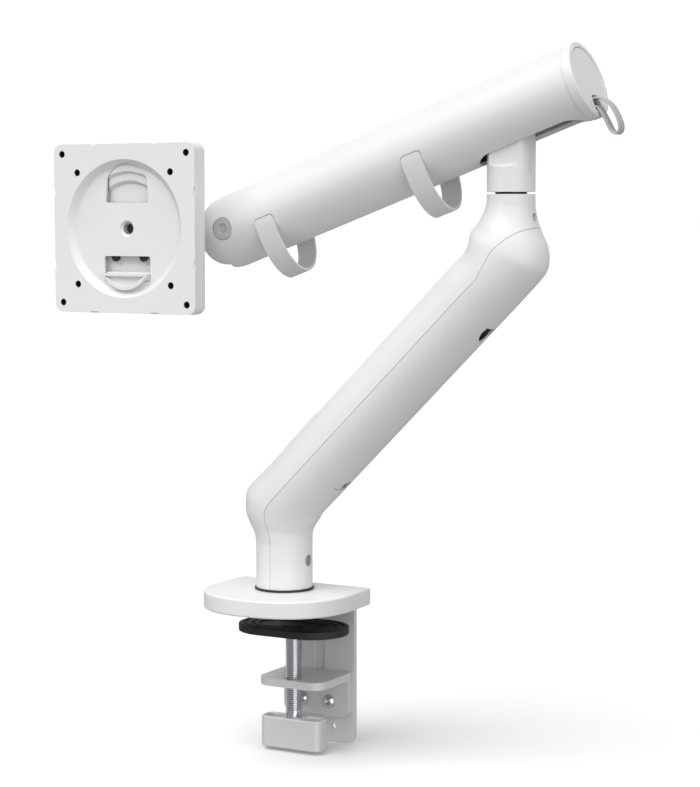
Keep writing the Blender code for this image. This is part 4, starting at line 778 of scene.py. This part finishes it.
class ARM_OT_lower_arm(bpy.types.Operator):
    """Build the lower arm's two shells, its lids and its set screws"""

    bl_idname = "monitor_arm.lower_arm"
    bl_label = "Lower arm"

    def execute(self, context):
        sizes = context.scene.monitor_arm_sizes
        seam = seam_line()
        parting = 0.00016
        corners = [(0.30, 0.36), (-0.08, 0.36), (-0.08, 0.01)]
        for name, node, sign, operation in (
            ("back_shell", "lower_arm_back_shell", 1, "INTERSECT"),
            ("front_shell", "lower_arm_front_shell", -1, "DIFFERENCE"),
        ):
            line = self.moved(seam, sign * parting)
            shell = arm_loft(sizes)
            side = slab(line + corners, -0.06, 0.06, "XZ")
            shell = combine(shell, side, operation)
            shell = combine(shell, arm_loft(sizes, 0.0024, 48, 2))
            if sign > 0:
                shell = self.cut_back(shell, sizes)
            else:
                shell = self.cut_front(shell, sizes)
            piece(name, shell, "lower_arm", "white_paint", [node], angle=42)
        self.add_cable_lid(sizes)
        self.add_side_lid(sizes)
        self.add_screws(sizes)
        return {"FINISHED"}

    def moved(self, seam, offset):
        """The seam set off to one side by a little."""
        line = []
        for i, point in enumerate(seam):
            way = seam[min(i + 1, len(seam) - 1)] - seam[max(i - 1, 0)]
            way.normalize()
            line.append(tuple(point + Vector((-way.y, way.x)) * offset))
        return line

    def cut_front(self, shell, sizes):
        half = 0.0105
        low = -math.sqrt(sizes.arm_radius**2 - half**2) + 0.0033
        opening = block((0.040, -half, -0.030), (0.196, half, low), 0.002, "Z", 3)
        shell = combine(shell, placed(opening, on_slope()))
        bore = rod(0.0041, 0.014, 0.022, 32, "X")
        return combine(shell, shifted(bore, z=SLEEVE_SCREW_Z))

    def cut_back(self, shell, sizes):
        half = 0.006
        low = math.sqrt(sizes.arm_radius**2 - half**2) - 0.0026
        opening = block((0.030, -half, low), (0.064, half, 0.030), 0.0015, "Z", 3)
        shell = combine(shell, placed(opening, on_slope()))
        bore = rod(0.0032, 0.0105, 0.0224, 32, "X")
        return combine(shell, shifted(bore, LIFT.x, z=NECK_SCREW_Z))

    def curved_strip(self, radius, half, thick, start, end, lift=0.0, under=True):
        """A strip that carries on the arm's round surface."""
        sign = -1 if under else 1
        outer = [
            (y, sign * (math.sqrt(radius**2 - y**2) + lift))
            for y in [half * i / 8 for i in range(-8, 9)]
        ]
        inner = [(y, z - sign * thick) for y, z in reversed(outer)]
        return slab(outer + inner, start, end, "YZ", 0.0003, 1, 50)

    def add_cable_lid(self, sizes):
        lid = self.curved_strip(sizes.arm_radius, 0.0101, 0.0016, 0.0406, 0.1954)
        for at, radius in ((0.192, 0.0085), (0.043, 0.0050)):
            lid = combine(lid, shifted(rod(radius, -0.030, -0.015, 40), at))
        lid = placed(lid, on_slope())
        piece("lid_under", lid, "lower_arm", "white_paint", ["cable_lid"])
        # A thin dark sheet inside the lid's notches: painted shade that stands in for the shadow in the hollow
        # arm, not a real part.
        shade_sheet = block((0.0385, -0.0115, -0.0198), (0.1975, 0.0115, -0.0190))
        shade_sheet = placed(shade_sheet, on_slope())
        piece("channel_painted_shade", shade_sheet, "lower_arm", "dark_plastic")

    def add_side_lid(self, sizes):
        lid = self.curved_strip(sizes.arm_radius, 0.0056, 0.0018, 0.0305, 0.0635, 0.0006, False)
        lid = placed(lid, on_slope())
        piece("lid_upper", lid, "lower_arm", "white_paint", ["side_lid"])

    def add_screws(self, sizes):
        for name, node, radius, low, high, place in (
            ("sleeve_screw", "sleeve_set_screw", 0.0038, 0.0166, 0.0188, (0, 0, SLEEVE_SCREW_Z)),
            ("neck_screw", "neck_set_screw", 0.0029, 0.0093, 0.0148, (LIFT.x, 0, NECK_SCREW_Z)),
        ):
            screw = rod(radius, low, high, 36, "X", edge=0.0003)
            slot = block((high - 0.0010, -0.0005, -radius), (high + 0.001, 0.0005, radius))
            screw = shifted(combine(screw, slot), *place)
            piece(name, screw, "lower_arm", "bright_steel", [node])


class ARM_OT_knuckle(bpy.types.Operator):
    """Build the elbow's knuckle: round at its foot, flat sided where it enters the tube"""

    bl_idname = "monitor_arm.knuckle"
    bl_label = "Knuckle"

    def execute(self, context):
        sizes = context.scene.monitor_arm_sizes
        radius = sizes.neck_radius
        bottom = sizes.neck_top + 0.0014
        body = rod(radius, bottom, LIFT.z, 96)
        half, clear = 0.0116, 0.0175
        eye = rod(0.012, -half, half, 64, "Y")
        body = combine(body, shifted(eye, z=LIFT.z), "UNION")
        shoulder, above = 0.2945, LIFT.z + 0.02
        ledge = shoulder + 0.0027
        for sign in (-1, 1):
            flat = [
                (sign * half, ledge),
                (sign * clear, shoulder - 0.0003),
                (sign * clear, above),
                (sign * half, above),
            ]
            body = combine(body, slab(flat, -0.02, 0.02, "YZ"))
            flat = [
                (sign * 0.0144, ledge),
                (sign * clear, shoulder - 0.0035),
                (sign * clear, above),
                (sign * 0.0126, above),
                (sign * 0.0126, LIFT.z - 0.012),
                (sign * 0.0144, LIFT.z - 0.022),
            ]
            body = combine(body, slab(flat, -0.02, 0.02, "XZ"))
            ends = sorted((sign * 0.0131, sign * 0.0200))
            pocket = block((ends[0], -0.0056, 0.2912), (ends[1], 0.0056, 0.36), 0.0022, "X", 5)
            body = combine(body, pocket)
        bore = shifted(rod(0.0041, -0.02, 0.02, 32, "Y"), z=LIFT.z)
        body = combine(body, bore)
        body = combine(body, rod(0.0068, bottom - 0.001, 0.2948, 40))
        pin = shifted(rod(0.0015, 0.006, 0.0158, 24, "Y"), z=LIFT.z - 0.012)
        body = shifted(merged([body, pin]), LIFT.x)
        piece("elbow_knuckle", body, "elbow", "white_paint", ["knuckle"], 0.0005)
        return {"FINISHED"}


# ---------------------------------------------------------------- tube


def nose(radius, gap, steps=20):
    """(radius, distance) down the tube's round nose, from its tip."""
    points = []
    for i in range(steps + 1):
        angle = math.pi / 2 * i / steps
        tip = -REACH - gap - radius * math.cos(angle)
        points.append((radius * math.sin(angle), tip))
    return points


class ARM_OT_tube(bpy.types.Operator):
    """Build the upper arm's tube with its nose, slots and strap pockets"""

    bl_idname = "monitor_arm.tube"
    bl_label = "Tube"

    def execute(self, context):
        sizes = context.scene.monitor_arm_sizes
        radius = sizes.tube_radius
        inner = radius - 0.0023
        tail, nose_out = sizes.tail_reach, 0.005
        profile = nose(radius, nose_out)
        profile += [(radius, tail), (inner, tail)]
        profile += nose(inner, nose_out)[::-1]
        tube = lathe(profile, 128, "X")
        half = 0.0129
        slot = block((-0.0305, -half, -0.030), (0.0470, half, -0.010), half * 0.98, "Z", 12)
        tube = combine(tube, slot)
        tube = combine(tube, slab(self.opening(), -0.0097, 0.0097, "XZ"))
        for sign in (-1, 1):
            ends = sorted((sign * 0.0219, sign * 0.027))
            tube = combine(tube, shifted(rod(0.0077, *ends, 48, "Y"), -REACH))
        for at in LOOP_AT:
            for sign in (-1, 1):
                ends = sorted((sign * 0.0230, sign * 0.030))
                low = (at - 0.0078, ends[0], -0.0170)
                high = (at + 0.0078, ends[1], -0.0032)
                tube = combine(tube, block(low, high, 0.003, "Y", 5))
        tube = placed(tube, TUBE_PLACE)
        piece("tube", tube, "upper_arm", "white_paint", ["arm_tube"], 0.0003, 45)
        self.add_covers()
        return {"FINISHED"}

    def add_covers(self):
        rim, dip = 0.0074, 0.0009
        cap = [
            (0.0, 0.0),
            (rim, 0.0),
            (rim, 0.0013),
            (0.0070, 0.0017),
            (0.0036, 0.0018),
            (0.0030, dip),
            (0.0, dip),
        ]
        inner, outer, low, high = 0.0012, 0.0018, 0.0008, 0.0013
        bead = [(inner, low), (outer, low), (outer, high), (inner, high)]
        for side, sign in (("front", -1), ("back", 1)):
            cover = merged([lathe(cap, 56), lathe(bead, 32, closed=True)])
            turn = Matrix.Rotation(-sign * math.pi / 2, 4, "X")
            place = TUBE_PLACE @ Matrix.Translation((-REACH, sign * 0.0222, 0)) @ turn
            cover = placed(cover, place)
            name = f"pivot_cover_{side}"
            piece(name, cover, "upper_arm", "grey_plastic", [f"pivot_cap_{side}"])

    def opening(self):
        """The room the head bracket sweeps through at the nose."""
        clear, reach = 0.0094, 0.045
        pivot = Vector((-REACH, 0))
        slope = math.degrees(SLOPE)
        first = math.radians(180 - slope - 5.0)
        last = math.radians(180 - slope + 62.0)

        def way(angle):
            return Vector((math.cos(angle), math.sin(angle)))

        line = [pivot + way(first) * reach + way(first - math.pi / 2) * clear]
        line.append(pivot + way(first) * (reach + clear))
        line.append(pivot + way((first + last) / 2) * (reach + 2 * clear))
        line.append(pivot + way(last) * (reach + clear))
        line.append(pivot + way(last) * reach + way(last + math.pi / 2) * clear)
        begin = last + math.pi / 2
        end = first - math.pi / 2 + 2 * math.pi
        for i in range(17):
            line.append(pivot + way(begin + (end - begin) * i / 16) * clear)
        return [tuple(point) for point in line]


class ARM_OT_tail(bpy.types.Operator):
    """Build the collar, end disc and folded pull tab at the tube's open end"""

    bl_idname = "monitor_arm.tail"
    bl_label = "Tube end"

    def execute(self, context):
        sizes = context.scene.monitor_arm_sizes
        start = sizes.tail_reach + 0.00008
        end = sizes.tail_reach + SHADOW_GAP + 0.0062
        lip, spigot, rim = 0.0211, sizes.tube_radius - 0.0026, sizes.tube_radius + 0.0005
        collar = [
            (lip - 0.0022, start - 0.004),
            (spigot, start - 0.004),
            (spigot, start),
            (rim - 0.0003, start),
            (rim, start + 0.0003),
            (rim, end - 0.0016),
            (rim - 0.0005, end - 0.0005),
            (rim - 0.0016, end),
            (lip + 0.0003, end),
            (lip, end - 0.0003),
            (lip, end - 0.0028),
            (lip - 0.0022, end - 0.0028),
        ]
        ring = placed(lathe(collar, 112, "X", closed=True), TUBE_PLACE)
        piece("collar", ring, "upper_arm", "white_paint", ["end_collar"])
        disc = rod(0.0208, end - 0.0025, end - 0.0003, 96, "X", edge=0.0004)
        slot = block((end - 0.02, -0.0052, -0.030), (end + 0.01, 0.0052, -0.0105), 0.0025, "X", 6)
        disc = placed(combine(disc, slot), TUBE_PLACE)
        piece("disc", disc, "upper_arm", "white_paint", ["end_disc"])
        line = [
            (end - 0.0022, -0.0128),
            (end + 0.0014, -0.0133),
            (end + 0.0050, -0.0154),
            (end + 0.0082, -0.0200),
            (end + 0.0098, -0.0262),
            (end + 0.0102, -0.0335),
            (end + 0.0086, -0.0376),
            (end + 0.0058, -0.0384),
            (end + 0.0036, -0.0352),
            (end + 0.0026, -0.0290),
            (end + 0.0014, -0.0225),
            (end + 0.0000, -0.0186),
            (end - 0.0022, -0.0176),
        ]
        half = 0.00425
        strap = slab(ribbon(smooth_line(line, 6), 0.0012), -half, half, "XZ", 0.0003, 2, 60)
        strap = placed(strap, TUBE_PLACE)
        piece("tab", strap, "upper_arm", "grey_plastic", ["pull_tab"], angle=50)
        return {"FINISHED"}


class ARM_OT_cable_loops(bpy.types.Operator):
    """Build the springy straps that hold cables under the tube"""

    bl_idname = "monitor_arm.cable_loops"
    bl_label = "Cable loops"

    def execute(self, context):
        top, deep = -0.0040, 0.0395
        half = [
            (-0.0243, top),
            (-0.0242, top - 0.005),
            (-0.0235, top - 0.011),
            (-0.0217, top - 0.019),
            (-0.0180, top - 0.028),
            (-0.0105, top - 0.036),
            (0.0, top - deep),
        ]
        line = half + [(-y, z) for y, z in reversed(half[:-1])]
        for number, at in enumerate(LOOP_AT, 1):
            low, high = at - 0.0071, at + 0.0071
            strap = slab(ribbon(smooth_line(line, 8), 0.0017), low, high, "YZ")
            ends = block((low, -0.04, -0.060), (high, 0.04, top), 0.0026, "Y", 6)
            strap = placed(combine(strap, ends, "INTERSECT"), TUBE_PLACE)
            node = f"cable_loop_{number}"
            piece(f"strap_{number}", strap, "upper_arm", "loop_grey", [node], 0.0004)
        return {"FINISHED"}


# ---------------------------------------------------------------- head


def in_hole_pattern(make):
    """One shape from make() at each of the plate's eight holes."""
    shapes = []
    for pitch in HOLE_PITCHES:
        for x in (-0.5, 0.5):
            for z in (-0.5, 0.5):
                shapes.append(shifted(make(), x * pitch, z=z * pitch))
    return shapes


class ARM_OT_plate(bpy.types.Operator):
    """Build the screen plate: rear shell, dished front with its hole patterns and the latch"""

    bl_idname = "monitor_arm.plate"
    bl_label = "Screen plate"

    def execute(self, context):
        half = context.scene.monitor_arm_sizes.plate_half
        face, back = -0.058, -0.0453
        seam = face + 0.006
        shell = block((-half, seam + SHADOW_GAP, -half), (half, back, half), 0.006, "Y", 10)
        inside = half - 0.0025
        low, high = (-inside, seam - 0.001, -inside), (inside, back - 0.0026, inside)
        shell = combine(shell, block(low, high, 0.004, "Y", 6))
        shell = combine(shell, rod(0.0036, seam, back + 0.001, 40, "Y"))
        shell = placed(shell, HEAD_PLACE)
        piece("plate_back", shell, "plate", "white_paint", ["plate_rear_shell"], 0.0007)
        self.add_front(half, face, seam)
        self.add_latch(face, seam)
        return {"FINISHED"}

    def add_front(self, half, face, seam):
        front = block((-half, face, -half), (half, seam, half), 0.006, "Y", 10)
        before, dish_floor = face - 0.002, face + 0.0042
        dish = [
            (0.0, before),
            (0.0470, before),
            (0.0466, face - 0.0001),
            (0.0460, face + 0.0003),
            (0.0424, face + 0.0037),
            (0.0414, dish_floor),
            (0.0, dish_floor),
        ]
        front = combine(front, lathe(dish, 120, "Y"))
        for hole in in_hole_pattern(lambda: rod(0.00235, before, seam + 0.002, 32, "Y")):
            front = combine(front, hole)
        sink = rod(0.0058, face + 0.0039, seam + 0.001, 48, "Y", 0.0030)
        front = combine(front, sink)
        dome = [(x, z + 0.0040) for x, z in arc(WINDOW_CENTRE, WINDOW_R, 25, 155, 20)]
        window = [(0.0172, 0.0175), *dome, (-0.0172, 0.0175)]
        front = combine(front, slab(window, face, seam + 0.002, "XZ"))
        low = block((-0.0186, face, -0.0350), (0.0186, seam + 0.002, -0.0184), 0.0014, "Y", 4)
        front = combine(front, low)
        for number in range(8):
            along = 0.0244 if number % 2 else -0.0244
            notch = block(
                (along - 0.0030, face - 0.001, half - 0.0010),
                (along + 0.0030, face + 0.0011, half + 0.001),
            )
            turn = Matrix.Rotation(math.pi / 2 * (number // 2), 4, "Y")
            front = combine(front, placed(notch, turn))
        front = placed(front, HEAD_PLACE)
        piece("plate_front", front, "plate", "white_paint", ["vesa_plate"], 0.0005)
        outside = 0.0480
        rings = [
            (0.0, face - 0.001),
            (outside, face - 0.001),
            (outside, face + 0.0046),
            (0.0384, face + 0.0048),
            (0.0366, face + 0.0068),
            (0.0322, face + 0.0070),
            (0.0300, face + 0.0094),
            (0.0, face + 0.0096),
        ]
        dome = [(x * 0.985, z + 0.0038) for x, z in arc(WINDOW_CENTRE, WINDOW_R, 25, 155, 20)]
        window = [(0.0170, 0.0177), *dome, (-0.0170, 0.0177)]
        steps = slab(window, face + 0.0040, -0.0480, "XZ")
        steps = combine(steps, lathe(rings, 96, "Y"))
        steps = placed(steps, HEAD_PLACE)
        piece("window_steps", steps, "plate", "white_paint")
        # Dark cups in the eight holes: painted shade that stands in for the shadow down the holes, not real
        # inserts.
        cup_floor, cup_back, cup = seam - 0.0006, seam - 0.0001, 0.00230
        shade_cup = [
            (0.0, cup_floor),
            (0.0019, cup_floor),
            (0.0020, face + 0.0008),
            (cup, face + 0.0004),
            (cup, cup_back),
            (0.0, cup_back),
        ]
        cups = merged(in_hole_pattern(lambda: lathe(shade_cup, 28, "Y")))
        cups = placed(cups, HEAD_PLACE)
        piece("hole_painted_shade", cups, "plate", "dark_plastic")

    def add_latch(self, face, seam):
        half = 0.0186
        floor = face + 0.0042
        lip = arc(SCOOP_CENTRE, 0.0196, -140, -40, 24)
        moon = [(-half, -0.0300), *lip, (half, -0.0300)]
        latch = slab(moon, face + 0.0005, floor - SHADOW_GAP, "XZ")
        reach = half - 0.0006
        tongue = block((-reach, floor - 0.0010, -0.0346), (reach, seam + 0.0014, -0.0302))
        latch = combine(latch, tongue, "UNION")
        reach = half + 0.0018
        flange = block((-reach, seam + SHADOW_GAP, -0.0365), (reach, seam + 0.0018, -0.0290))
        latch = combine(latch, flange, "UNION")
        inside = arc(SCOOP_CENTRE, 0.0174, -137, -43, 20)
        scoop = [(-0.0165, -0.0318), *inside, (0.0165, -0.0318)]
        latch = combine(latch, slab(scoop, face - 0.002, floor - 0.0008, "XZ"))
        latch = placed(latch, HEAD_PLACE)
        piece("latch", latch, "latch", "white_paint", ["release_latch"])


class ARM_OT_carried(bpy.types.Operator):
    """Give the finishes to the pieces whose shape comes from the model itself"""

    bl_idname = "monitor_arm.carried"
    bl_label = "Carried-over pieces"

    def execute(self, context):
        subparts = frame["record"]["subparts"]
        slots = {part["node"]: part["material_slot"] for part in subparts}
        # The hub screw gets the dark finish as painted shade, standing in for the shadow in the plate's centre
        # hole.
        slots["hub_screw"] = "dark_plastic"
        for name, node in frame["nodes"].items():
            node.data.materials.clear()
            node.data.materials.append(FINISHES[slots[name]])
        return {"FINISHED"}


class ARM_OT_stage(bpy.types.Operator):
    """Lay the pale floor, hang the soft lights and set the camera"""

    bl_idname = "monitor_arm.stage"
    bl_label = "Studio"

    def execute(self, context):
        colours = context.scene.monitor_arm_colours
        ground = bmesh.new()
        bmesh.ops.create_grid(ground, x_segments=2, y_segments=2, size=40.0)
        bmesh.ops.translate(ground, verts=ground.verts, vec=(0, 0, CAD_BOX[0][2] - 0.0005))
        mesh = bpy.data.meshes.new("floor")
        ground.to_mesh(mesh)
        ground.free()
        mesh.materials.append(finish("floor_paint", colours.floor, 0.8, 0.0, 60.0, 0.0, 0.005))
        floor = bpy.data.objects.new("floor", mesh)
        context.scene.collection.objects.link(floor)
        floor.visible_diffuse = False
        floor.visible_glossy = False
        world = bpy.data.worlds.new("studio")
        world.use_nodes = True
        nodes = world.node_tree.nodes
        links = world.node_tree.links
        soft = nodes["Background"]
        soft.inputs["Color"].default_value = (1.0, 1.0, 1.0, 1.0)
        soft.inputs["Strength"].default_value = 0.40
        paper = nodes.new("ShaderNodeBackground")
        paper.inputs["Color"].default_value = (1.0, 1.0, 1.0, 1.0)
        paper.inputs["Strength"].default_value = 1.02
        rays = nodes.new("ShaderNodeLightPath")
        mix = nodes.new("ShaderNodeMixShader")
        links.new(rays.outputs["Is Camera Ray"], mix.inputs["Fac"])
        links.new(soft.outputs["Background"], mix.inputs[1])
        links.new(paper.outputs["Background"], mix.inputs[2])
        links.new(mix.outputs["Shader"], nodes["World Output"].inputs["Surface"])
        context.scene.world = world
        context.scene.view_settings.view_transform = "Standard"
        for name, way, spread, power in (
            ("key", (0.25, 0.62, -1.0), 55.0, 2.4),
            ("fill", (-0.85, 0.60, -0.15), 70.0, 1.45),
            ("back", (0.3, -1.0, -0.5), 70.0, 0.45),
        ):
            lamp = bpy.data.lights.new(name, "SUN")
            lamp.energy = power
            lamp.angle = math.radians(spread)
            light = bpy.data.objects.new(name, lamp)
            light.rotation_euler = Vector(way).to_track_quat("-Z", "Y").to_euler()
            light.location = -Vector(way)
            context.scene.collection.objects.link(light)
        lens = bpy.data.cameras.new("camera")
        lens.lens = 97.64
        lens.sensor_width = 36.0
        camera = bpy.data.objects.new("camera", lens)
        camera.location = (0.7327, -1.2381, 0.2660)
        camera.rotation_euler = (math.radians(85.188), 0.0, math.radians(28.84))
        context.scene.collection.objects.link(camera)
        context.scene.camera = camera
        return {"FINISHED"}


STEPS = (
    ARM_OT_base,
    ARM_OT_jaw,
    ARM_OT_clamp_screw,
    ARM_OT_lower_arm,
    ARM_OT_knuckle,
    ARM_OT_tube,
    ARM_OT_tail,
    ARM_OT_cable_loops,
    ARM_OT_plate,
    ARM_OT_carried,
    ARM_OT_stage,
)


class ARM_PT_panel(bpy.types.Panel):
    """Sizes, colours and one button for each piece"""

    bl_idname = "ARM_PT_panel"
    bl_label = "Monitor Arm"
    bl_space_type = "VIEW_3D"
    bl_region_type = "UI"
    bl_category = "Monitor Arm"

    def draw(self, context):
        layout = self.layout
        for group in (context.scene.monitor_arm_sizes, context.scene.monitor_arm_colours):
            column = layout.column(align=True)
            for name in group.__annotations__:
                column.prop(group, name)
        for step in STEPS:
            layout.operator(step.bl_idname)


CLASSES = (ArmSizes, ArmColours, *STEPS, ARM_PT_panel)


def register():
    for cls in CLASSES:
        bpy.utils.register_class(cls)
    bpy.types.Scene.monitor_arm_sizes = bpy.props.PointerProperty(type=ArmSizes)
    bpy.types.Scene.monitor_arm_colours = bpy.props.PointerProperty(type=ArmColours)


def unregister():
    del bpy.types.Scene.monitor_arm_colours
    del bpy.types.Scene.monitor_arm_sizes
    for cls in reversed(CLASSES):
        bpy.utils.unregister_class(cls)


def main():
    register()
    make_finishes(bpy.context.scene.monitor_arm_colours)
    bpy.ops.monitor_arm.base()
    bpy.ops.monitor_arm.jaw()
    bpy.ops.monitor_arm.clamp_screw()
    bpy.ops.monitor_arm.lower_arm()
    bpy.ops.monitor_arm.knuckle()
    bpy.ops.monitor_arm.tube()
    bpy.ops.monitor_arm.tail()
    bpy.ops.monitor_arm.cable_loops()
    bpy.ops.monitor_arm.plate()
    bpy.ops.monitor_arm.carried()
    bpy.ops.monitor_arm.stage()


if __name__ == "__main__":
    main()
